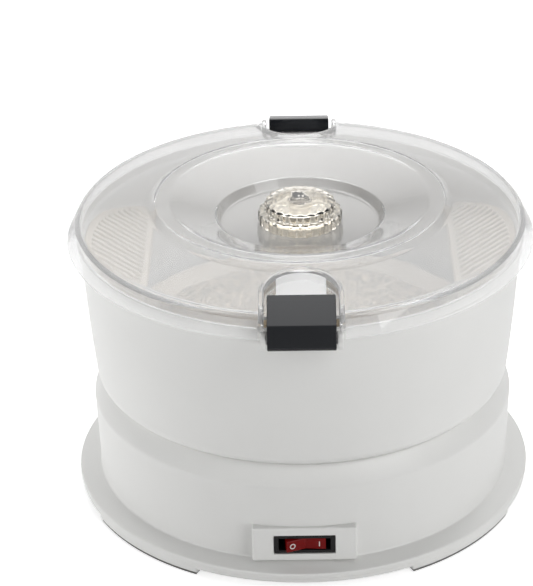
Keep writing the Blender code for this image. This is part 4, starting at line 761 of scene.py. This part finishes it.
plug_path = [(0, bowl_rim), (rasp_reach, bowl_rim), *cavity, (0, cavity[-1][1])]
for name, turn in (("right_rasp_panel", 0), ("left_rasp_panel", math.pi)):
    wedge = slab(rasp_outline(0), -rasp_reach, rasp_reach, stand_along, rasp_round)
    rasp = as_object(wedge, f"{name}_ribbed")
    combine(rasp, "INTERSECT", turned(plug_path))
    half_chord = math.sqrt((rasp_reach - rasp_wall) ** 2 - (rasp_nose + rasp_wall) ** 2) - rasp_wall
    combine(rasp, "DIFFERENCE", slab(rasp_outline(rasp_wall), -half_chord, half_chord, stand_along))
    ribs = bmesh.new()
    for number in range(rib_count):
        y = rib_pitch * (number - (rib_count - 1) / 2)
        end = math.sqrt((rasp_reach - rib_margin) ** 2 - y ** 2)
        length = (end - rib_start) / math.cos(rasp_slope)
        on_slope = Matrix.Translation((rib_start, y, ramp(rib_start))) @ Matrix.Rotation(-rasp_slope, 4, "Y")
        bar = Matrix.LocRotScale((length / 2, 0, 0), None, (length, rib_width, 2 * rib_height))
        bmesh.ops.create_cube(ribs, size=1, matrix=on_slope @ bar)
    combine(rasp, "UNION", soften(ribs, rib_round))
    rasp.data.transform(Matrix.Rotation(turn, 4, "Z"))
    dress(rasp, polypropylene_painted_shade)
    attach(rasp, "bowl")
    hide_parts(name)

# Peeling disc
# A white polypropylene disc with an upturned rim, a domed hub and three rounded ridges, which toss what lies
# on it. It is pressed on the top of its shaft and turns just above the bowl's floor.
disc_low, disc_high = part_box("peeling_disc")
disc_radius = disc_high.x
disc_thickness = 0.0030
disc_top = disc_low.z + disc_thickness
disc_rim_width = 0.0120
disc_rim_rise = 0.0055
disc_hub_radius = 0.0160
disc_hub_wall = 0.0036
disc_hub_round = 0.0040
hub_ceiling = hub_levels[1] + 0.0022
shaft_bore_radius = 0.0043
shaft_seat = 0.0035
disc_round = 0.0010
ridge_half_width = 0.0090
ridge_height = 0.0045
ridge_start = 0.0240
ridge_angles = [math.radians(angle) for angle in (90, 210, 330)]
rim_start = disc_radius - disc_rim_width
disc = as_object(soften(turned([
    (0, disc_high.z),
    (disc_hub_radius - disc_hub_round * 2, disc_high.z),
    (disc_hub_radius, disc_high.z - disc_hub_round),
    (disc_hub_radius + disc_thickness / 2, disc_top + disc_thickness),
    (disc_hub_radius + disc_thickness * 2, disc_top),
    (rim_start, disc_top),
    (disc_radius, disc_top + disc_rim_rise),
    (disc_radius, disc_top + disc_rim_rise - disc_thickness),
    (rim_start, disc_low.z),
    (disc_hub_radius - disc_hub_wall, disc_low.z),
    (disc_hub_radius - disc_hub_wall, hub_ceiling),
    (shaft_bore_radius, hub_ceiling),
    (shaft_bore_radius, hub_ceiling + shaft_seat),
    (0, hub_ceiling + shaft_seat),
]), disc_round, angle=15), "disc_with_ridges")
ridge_straight = (rim_start - ridge_start) / 2 - ridge_half_width
ridge_scale = Matrix.Diagonal((1, 1, (ridge_height + disc_thickness / 2) / ridge_half_width, 1))
ridge_place = Matrix.Translation(((rim_start + ridge_start) / 2, 0, disc_top - disc_thickness / 2))
for turn in ridge_angles:
    ridge = bmesh.new()
    bmesh.ops.create_uvsphere(ridge, u_segments=32, v_segments=16, radius=ridge_half_width,
                              matrix=ridge_scale)
    for sign in (-1, 1):
        half = [vert for vert in ridge.verts if vert.co.x * sign > weld_distance]
        bmesh.ops.translate(ridge, vec=(sign * ridge_straight, 0, 0), verts=half)
    bmesh.ops.bisect_plane(ridge, geom=ridge.verts[:] + ridge.edges[:] + ridge.faces[:], plane_co=(0, 0, 0),
                           plane_no=(0, 0, 1), clear_inner=True)
    bmesh.ops.edgeloop_fill(ridge, edges=[edge for edge in ridge.edges if edge.is_boundary])
    combine(disc, "UNION", turned_round(placed(ridge, ridge_place), turn))
# The disc takes the same colour, with its painted shade and painted warm bounce light
dress(disc, polypropylene_painted_shade)
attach(disc, "disc")
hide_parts("peeling_disc")

# Abrasive pads
# Three sectors of silicon carbide grit in hard resin, bonded on the disc between its ridges. They rub the
# skin off what lies on them.
def bonded_grit(name, colour, roughness):
    """Grit in resin: angular grains of light and dark brown-grey, drawn a little coarse so that they show."""
    grit_width = 0.0011
    grit_height = 0.0004
    dark_share = 0.35
    pale_share = 2.2
    material, tree = new_material(name)
    place = node(tree, "TexCoord").outputs["Object"]
    grains = node(tree, "TexVoronoi", {"Vector": place, "Scale": 1 / grit_width})
    fine = node(tree, "TexNoise", {"Vector": place, "Scale": 3 / grit_width, "Detail": 3.0})
    tone = node(tree, "Mix", {
        "Factor": node(tree, "SeparateColor", {"Color": grains.outputs["Color"]}),
        "A": shaded(linear(colour), dark_share), "B": shaded(linear(colour), pale_share),
    }, data_type="RGBA")
    height = node(tree, "Math", {0: grains.outputs["Distance"], 1: fine}, operation="ADD")
    bump = node(tree, "Bump", {"Height": height, "Strength": 1.0, "Distance": grit_height})
    shader = node(tree, "BsdfPrincipled", {
        "Base Color": tone.outputs["Result"], "Roughness": roughness, "Normal": bump,
    })
    node(tree, "OutputMaterial", {"Surface": shader})
    return material


grit = bonded_grit("bonded_grit", "#8f8371", roughness=0.75)
grit_margin = 0.0014
grit_round = 0.0003
grit_outer = rim_start - grit_margin
grit_inner = ridge_start + grit_margin
grit_keep = ridge_half_width + grit_margin
third = math.tau / len(ridge_angles)
outer_span = third - 2 * math.asin(grit_keep / grit_outer)
inner_span = third - 2 * math.asin(grit_keep / grit_inner)
grit_steps = 40
for number, turn in enumerate(ridge_angles, start=1):
    low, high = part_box(f"abrasive_pad_{number}")
    middle = turn + third / 2
    outline = []
    for radius, half_span in ((grit_outer, outer_span / 2), (grit_inner, -inner_span / 2)):
        outline += arc((0, 0), radius, middle - half_span, middle + half_span, grit_steps)
    pad = as_object(slab(outline, low.z, high.z, round_width=grit_round), f"grit_sector_{number}")
    dress(pad, grit)
    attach(pad, "disc")
    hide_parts(f"abrasive_pad_{number}")

# Couplings
# Two black polyamide halves with three lugs each. One sits on the spindle in the well of the base, the other
# on the shaft under the bowl, and they mesh when the bowl is set down.
coupling_radius = 0.0110
coupling_hub_height = 0.0040
lug_inner_radius = 0.0055
lug_span = math.radians(50)
lug_round = 0.0004
lug_count = 3
lug_outer_radius = coupling_radius - lug_round
for name, body, lugs_point_up in (("base_coupling", "spindle", True), ("bowl_coupling", "disc", False)):
    low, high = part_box(name)
    if lugs_point_up:
        hub_low, hub_high = low.z, low.z + coupling_hub_height
        lug_low, lug_high = hub_high - clearance, high.z
        first = 0
    else:
        hub_low, hub_high = high.z - coupling_hub_height, high.z
        lug_low, lug_high = low.z, hub_low + clearance
        first = math.pi / lug_count
    half = soften(ring_shape(shaft_bore_radius, coupling_radius, hub_low, hub_high), lug_round)
    half = as_object(half, f"{name}_half")
    for number in range(lug_count):
        angle = first + math.tau * number / lug_count
        lug = arc_bar(lug_inner_radius, lug_outer_radius, lug_low, lug_high, angle, lug_span, lug_round)
        combine(half, "UNION", lug)
    dress(half, black_polyamide)
    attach(half, body)
    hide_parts(name)

# Lid
# Clear moulded polystyrene: a floor under the knob, a cone up to a raised ring, a slope, and a skirt over the
# bowl's rim. Two arched pockets, partly frosted, have the ledges that the hooks of the latches hold.
def clear_plastic(name, colour, haze, roughness, swell_height):
    """Clear plastic: like glass, with some milkiness and a mould surface that is a little uneven."""
    swell_width = 0.018
    shadow_pass = 0.97
    material, tree = new_material(name)
    place = node(tree, "TexCoord").outputs["Object"]
    swell = node(tree, "TexNoise", {"Vector": place, "Scale": 1 / swell_width, "Detail": 1.0})
    bump = node(tree, "Bump", {"Height": swell, "Strength": 1.0, "Distance": swell_height})
    shader = node(tree, "BsdfPrincipled", {
        "Base Color": linear(colour), "Roughness": roughness, "IOR": 1.57,
        "Transmission Weight": 1 - haze, "Normal": bump,
    })
    through = node(tree, "BsdfTransparent", {"Color": (shadow_pass, shadow_pass, shadow_pass, 1.0)})
    shadow = node(tree, "LightPath").outputs["Is Shadow Ray"]
    both = node(tree, "MixShader", {0: shadow, 1: shader, 2: through})
    node(tree, "OutputMaterial", {"Surface": both})
    return material


lid_wall = 0.0022
lid_floor = bowl_rim + 0.0025
lid_floor_radius = 0.0440
lid_well_radius = 0.0466
lid_cone_low = lid_floor + 0.0055
lid_cone_radius = 0.0704
lid_top = lid_cone_low + 0.0100
plateau_radii = (0.0725, 0.0805)
plateau_rise = 0.0006
step_radius = 0.0845
step_level = lid_top - 0.0030
lid_edge_radius = 0.1225
lid_edge_level = step_level - 0.0055
lid_edge_round = 0.0024
skirt_top_radius = lid_edge_radius + lid_edge_round
skirt_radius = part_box("lid")[1].x
skirt_low = lid_edge_level - 0.0126
stem_hole_radius = 0.0060
lid_round = 0.0009
lid_steps = 160
lid_path = [
    (stem_hole_radius, lid_floor),
    (lid_floor_radius, lid_floor),
    (lid_well_radius, lid_cone_low),
    (lid_cone_radius, lid_top - plateau_rise),
    (plateau_radii[0], lid_top),
    (plateau_radii[1], lid_top),
    (step_radius, step_level),
    (lid_edge_radius, lid_edge_level),
    (skirt_top_radius, lid_edge_level - lid_edge_round),
    (skirt_radius, skirt_low),
]
lid = as_object(soften(turned(lid_path, lid_steps), lid_round, angle=8), "clear_lid")
give_wall(lid, lid_wall)


def lid_height(radius):
    """The height of the lid's outer surface at a radius."""
    for (inner, start), (outer, end) in zip(lid_path, lid_path[1:]):
        if inner <= radius <= outer:
            return start + (end - start) * (radius - inner) / (outer - inner)
    return lid_path[-1][1]


seat_outer = bowl_rim_radius - 2 * clearance
seat_width = 0.0016
seat_top = lid_height(seat_outer) - lid_wall / 2
seat = joined_ring(seat_outer - seat_width, seat_outer, bowl_rim + clearance, seat_top, lid_steps)
combine(lid, "UNION", seat)

pocket_middle = 0.1065
pocket_inner = 0.0194
pocket_wall = 0.0028
pocket_outer = pocket_inner + pocket_wall
pocket_end = pin_distance - 0.0056
pocket_lip = 0.0024
pocket_depth = 0.0046
pocket_floor = 0.0020
pocket_round = 0.0009
pocket_steps = 40
leg_steps = 6
ledge_end = 0.1160
skirt_gap = 0.0228


def arch_outline(half_width, end):
    """A U that is open towards the lid's edge, at the front."""
    bend = arc((0, -pocket_middle), half_width, 0, math.pi, pocket_steps)
    return [(half_width, -end), *bend, (-half_width, -end)]


def follow_lid(bm):
    """Lifts a shape that was made level with zero until it follows the lid's slope."""
    for vert in bm.verts:
        vert.co.z += lid_height(max(vert.co.xy.length, step_radius))
    return bm


def drawn_on(bm, loop):
    """Extrudes a loop of edges and gives the new loop, which still lies on the old one."""
    made = bmesh.ops.extrude_edge_only(bm, edges=loop)["geom"]
    return [item for item in made if isinstance(item, bmesh.types.BMEdge) and item.is_boundary]


def pocket_liner():
    """The upright wall round the pocket with its lip, spun round the bend and drawn out along both legs."""
    bm = bmesh.new()
    low = -pocket_depth - pocket_floor
    verts = [bm.verts.new((x, -pocket_middle, z)) for x, z in (
        (pocket_inner, low), (pocket_outer, low), (pocket_outer, pocket_lip), (pocket_inner, pocket_lip),
    )]
    edges = [bm.edges.new((verts[i], verts[i - 1])) for i in range(len(verts))]
    spun = bmesh.ops.spin(bm, geom=verts + edges, cent=(0, -pocket_middle, 0), axis=(0, 0, 1),
                          angle=math.pi, steps=pocket_steps)["geom_last"]
    loops = (edges, [item for item in spun if isinstance(item, bmesh.types.BMEdge)])
    step = (pocket_end - pocket_middle) / leg_steps
    for loop in loops:
        for number in range(leg_steps):
            loop = drawn_on(bm, loop)
            for vert in {vert for edge in loop for vert in edge.verts}:
                vert.co.y -= step
        bmesh.ops.edgeloop_fill(bm, edges=loop)
    bmesh.ops.recalc_face_normals(bm, faces=bm.faces)
    return follow_lid(soften(bm, pocket_round, angle=40))


wall_middle = pocket_inner + pocket_wall / 2
ledge_start = step_radius - pocket_wall
ledge_levels = (lid_height(step_radius) - pocket_depth, lid_height(pocket_end) - pocket_depth)
for turn in (0, math.pi):
    opening = arch_outline(wall_middle, skirt_radius + overrun)
    opening = slab(opening, bowl_rim - pocket_depth, lid_top + overrun)
    notch_corner = (-skirt_gap, -skirt_radius - overrun, skirt_low - overrun)
    notch = box_shape(notch_corner, (skirt_gap, -pocket_end, lid_top))
    combine(lid, "DIFFERENCE", turned_round(opening, turn), turned_round(notch, turn))
    ledge = as_object(slab(arch_outline(wall_middle, ledge_end), bowl_rim, lid_top), "ledge")
    combine(ledge, "INTERSECT", turned([
        (ledge_start, ledge_levels[0]),
        (pocket_end, ledge_levels[1]),
        (pocket_end, ledge_levels[1] - pocket_floor),
        (ledge_start, ledge_levels[0] - pocket_floor),
    ], lid_steps, closed=True))
    shelf = bmesh.new()
    shelf.from_mesh(ledge.data)
    bpy.data.objects.remove(ledge, do_unlink=True)
    combine(lid, "UNION", turned_round(pocket_liner(), turn), turned_round(shelf, turn))
clear_polystyrene = clear_plastic(
    "clear_polystyrene", "#ffffff", haze=0.15, roughness=0.035, swell_height=0.00010)
frosted_polystyrene = clear_plastic(
    "frosted_polystyrene", "#ffffff", haze=0.75, roughness=0.5, swell_height=0.00002)
frost_half_width = 0.0131
frost_thickness = 0.00015
frost_round = 0.00004
frost_reach = pocket_inner - frost_round
frost_span = 2 * math.asin(frost_half_width / frost_reach)
frost_cuts = 7
for side, turn in (("front", 0), ("rear", math.pi)):
    frost_corner = (frost_half_width, frost_reach - pocket_middle, frost_thickness - pocket_depth)
    frost = box_shape((-frost_half_width, -pocket_end, -pocket_depth), frost_corner)
    bmesh.ops.subdivide_edges(frost, edges=frost.edges, cuts=frost_cuts, use_grid_fill=True)
    frost = as_object(follow_lid(frost), f"{side}_frosted_strip")
    arch = slab(arch_outline(frost_reach, pocket_end + overrun), bowl_rim - pocket_depth, lid_top)
    combine(frost, "INTERSECT", arch)
    frost_wall = arc_bar(frost_reach - frost_thickness, frost_reach, frost_round - pocket_depth, 0,
                         math.radians(90), frost_span, frost_round)
    frost_wall = placed(frost_wall, Matrix.Translation((0, -pocket_middle, 0)))
    combine(frost, "UNION", follow_lid(frost_wall))
    frost.data.transform(Matrix.Rotation(turn, 4, "Z"))
    dress(frost, frosted_polystyrene)
    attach(frost, "lid")
dress(lid, clear_polystyrene)
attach(lid, "lid")
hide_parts("lid")

# Lid knob
# A knob of slightly warm clear polystyrene with two fluted tiers. It is moulded hollow, in one with a stem
# that goes down through the floor of the lid.
knob_low, knob_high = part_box("lid_knob")
flute_count = 22
flute_depth = 0.0009
flute_steps = 8
knob_base = lid_floor + clearance
knob_radii = (0.0234, 0.0196, 0.0157)
knob_levels = (knob_base, knob_base + 0.0066, knob_base + 0.0122, knob_high.z)
stem_radius = 0.0055
knob_round = 0.0006
knob_wall = 0.0024
dimple_radius = 0.0060
dimple_depth = 0.0009
dimple_bend_radius = 0.0036
dimple_bend_depth = 0.000675
levels = (
    (knob_radii[0], knob_levels[0], flute_depth),
    (knob_radii[0], knob_levels[1], flute_depth),
    (knob_radii[1], knob_levels[1], flute_depth),
    (knob_radii[1], knob_levels[2], flute_depth),
    (knob_radii[2], knob_levels[3], 0),
)
knob = bmesh.new()
bmesh.ops.create_circle(knob, segments=flute_count * flute_steps, radius=1, cap_ends=False)
loop = knob.edges[:]
for number, (radius, height, depth) in enumerate(levels):
    if number:
        loop = drawn_on(knob, loop)
    for vert in {vert for edge in loop for vert in edge.verts}:
        angle = math.atan2(vert.co.y, vert.co.x)
        hollow = 1 - abs(math.cos(angle * flute_count / 2)) ** 3
        reach = radius - depth * hollow
        vert.co = (reach * math.cos(angle), reach * math.sin(angle), height)
bmesh.ops.holes_fill(knob, edges=knob.edges)
bmesh.ops.recalc_face_normals(knob, faces=knob.faces)
knob = as_object(soften(knob, knob_round, angle=50), "clear_knob")
combine(knob, "UNION", rod_shape(stem_radius, knob_low.z, knob_base + clearance, segments=48))
combine(knob, "DIFFERENCE", turned([
    (stem_radius + knob_wall / 2, knob_base - overrun),
    (knob_radii[0] - knob_wall, knob_base - overrun),
    (knob_radii[0] - knob_wall, knob_levels[1] - knob_wall),
    (knob_radii[1] - knob_wall, knob_levels[1] - knob_wall),
    (knob_radii[1] - knob_wall, knob_levels[2] - knob_wall),
    (knob_radii[2] - knob_wall / 2, knob_levels[3] - knob_wall),
    (stem_radius + knob_wall / 2, knob_levels[3] - knob_wall),
], steps=96, closed=True))
above_knob = knob_high.z + 0.0001
combine(knob, "DIFFERENCE", turned([
    (0, knob_high.z - dimple_depth),
    (dimple_bend_radius, knob_high.z - dimple_bend_depth),
    (dimple_radius, above_knob),
    (0, above_knob),
], steps=48))
dress(knob, clear_plastic(
    "clear_polystyrene_knob", "#ebe6dc", haze=0.0, roughness=0.02, swell_height=0.00003))
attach(knob, "knob")
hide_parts("lid_knob")

# Knob washer and nut
# A soft washer of clear silicone and a hexagonal nut of the lid's polystyrene. They hold the knob's stem from
# below, inside the lid.
stem_bore = stem_radius + clearance
low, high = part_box("knob_washer")
washer = as_object(soften(ring_shape(stem_bore, high.x, low.z, high.z), clearance), "seal_washer")
dress(washer, clear_plastic("clear_silicone", "#ffffff", haze=0.25, roughness=0.14, swell_height=0.00002))
low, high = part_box("knob_nut")
nut = soften(rod_shape((high.x - low.x) / 2, low.z, high.z, segments=6), clearance * 2, angle=40)
nut = as_object(nut, "hex_nut")
combine(nut, "DIFFERENCE", rod_shape(stem_bore, low.z - overrun, high.z + overrun, segments=48))
dress(nut, clear_polystyrene)
for piece, replaced in ((washer, "knob_washer"), (nut, "knob_nut")):
    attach(piece, "knob")
    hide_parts(replaced)

# Latches
# Two levers of dark grey glossy ABS, bent once along a crease. Each turns on a steel pin through the bowl's
# ears, and its hook reaches over the ledge in the lid's pocket.
latch_half_width = (latch_high.x - latch_low.x) / 2
latch_barrel = 0.0048
latch_thickness = 0.0034
crease = (0.0038, 0.0113)
tip = (-0.0173, 0.0182)
hook_thickness = 0.0030
hook_clearance = 0.0004
latch_round = 0.0007
barrel_steps = 32
latch_slope = math.atan2(tip[1] - crease[1], crease[0] - tip[0])
below = latch_thickness / math.cos(latch_slope)
latch_inner = latch_barrel - latch_thickness
barrel_start = math.acos(latch_inner / latch_barrel)
hook_low = lid_height(pin_distance + tip[0]) - pocket_depth + hook_clearance - pin_level
latch_outline = [
    *arc((0, 0), latch_barrel, barrel_start, math.tau, barrel_steps),
    crease,
    tip,
    (tip[0], hook_low),
    (tip[0] + hook_thickness, hook_low),
    (tip[0] + hook_thickness, tip[1] - hook_thickness * math.tan(latch_slope) - below),
    (latch_inner, crease[1] + (crease[0] - latch_inner) * math.tan(latch_slope) - below),
]
dark_abs = dark_plastic("dark_grey_glossy_abs", "#16181c", roughness=0.20)
steel_pin = bare_metal("turned_steel", "#b9b9bb", roughness=0.26)
for side, turn in (("front", 0), ("rear", math.pi)):
    lever = slab(latch_outline, -latch_half_width, latch_half_width, on_pin @ stand_across, latch_round)
    latch = as_object(turned_round(lever, turn), f"{side}_lever")
    pin_bore = across_shape(pin_bore_radius, latch_half_width + overrun)
    combine(latch, "DIFFERENCE", turned_round(pin_bore, turn))
    dress(latch, dark_abs)
    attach(latch, f"{side}_latch")
    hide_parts(f"{side}_latch")
    low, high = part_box(f"{side}_latch_pin")
    pin = soften(across_shape((high.y - low.y) / 2, high.x), clearance, segments=2, angle=40)
    pin = as_object(turned_round(pin, turn), f"{side}_steel_pin")
    dress(pin, steel_pin)
    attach(pin, "bowl")
    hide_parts(f"{side}_latch_pin")

# Drive inside the base
# The shafts, pulleys, belt, bushes and motor, closed in by the housing and its cover. Their own shapes stand,
# and each takes the finish of its metal, rubber or plastic.
bronze = bare_metal("sintered_bronze", "#b8935f", roughness=0.45)
terminal_white = abs_plastic("terminal_polyamide", "#dcdad2", roughness=0.45)
finishes = (
    (zinc_plate, ("motor_can", "motor_bracket", "bracket_screw_1", "bracket_screw_2")),
    (steel_pin, ("drive_spindle", "motor_shaft", "motor_pulley", "disc_shaft")),
    (bronze, ("upper_bush", "lower_bush", "bowl_bush")),
    (dark_rubber, ("drive_belt", "shaft_seal")),
    (black_polyamide, ("driven_pulley",)),
    (terminal_white, ("terminal_block",)),
)
for material, names in finishes:
    for name in names:
        piece = bpy.data.objects[name]
        for slot in piece.material_slots:
            slot.link = "OBJECT"
            slot.material = material
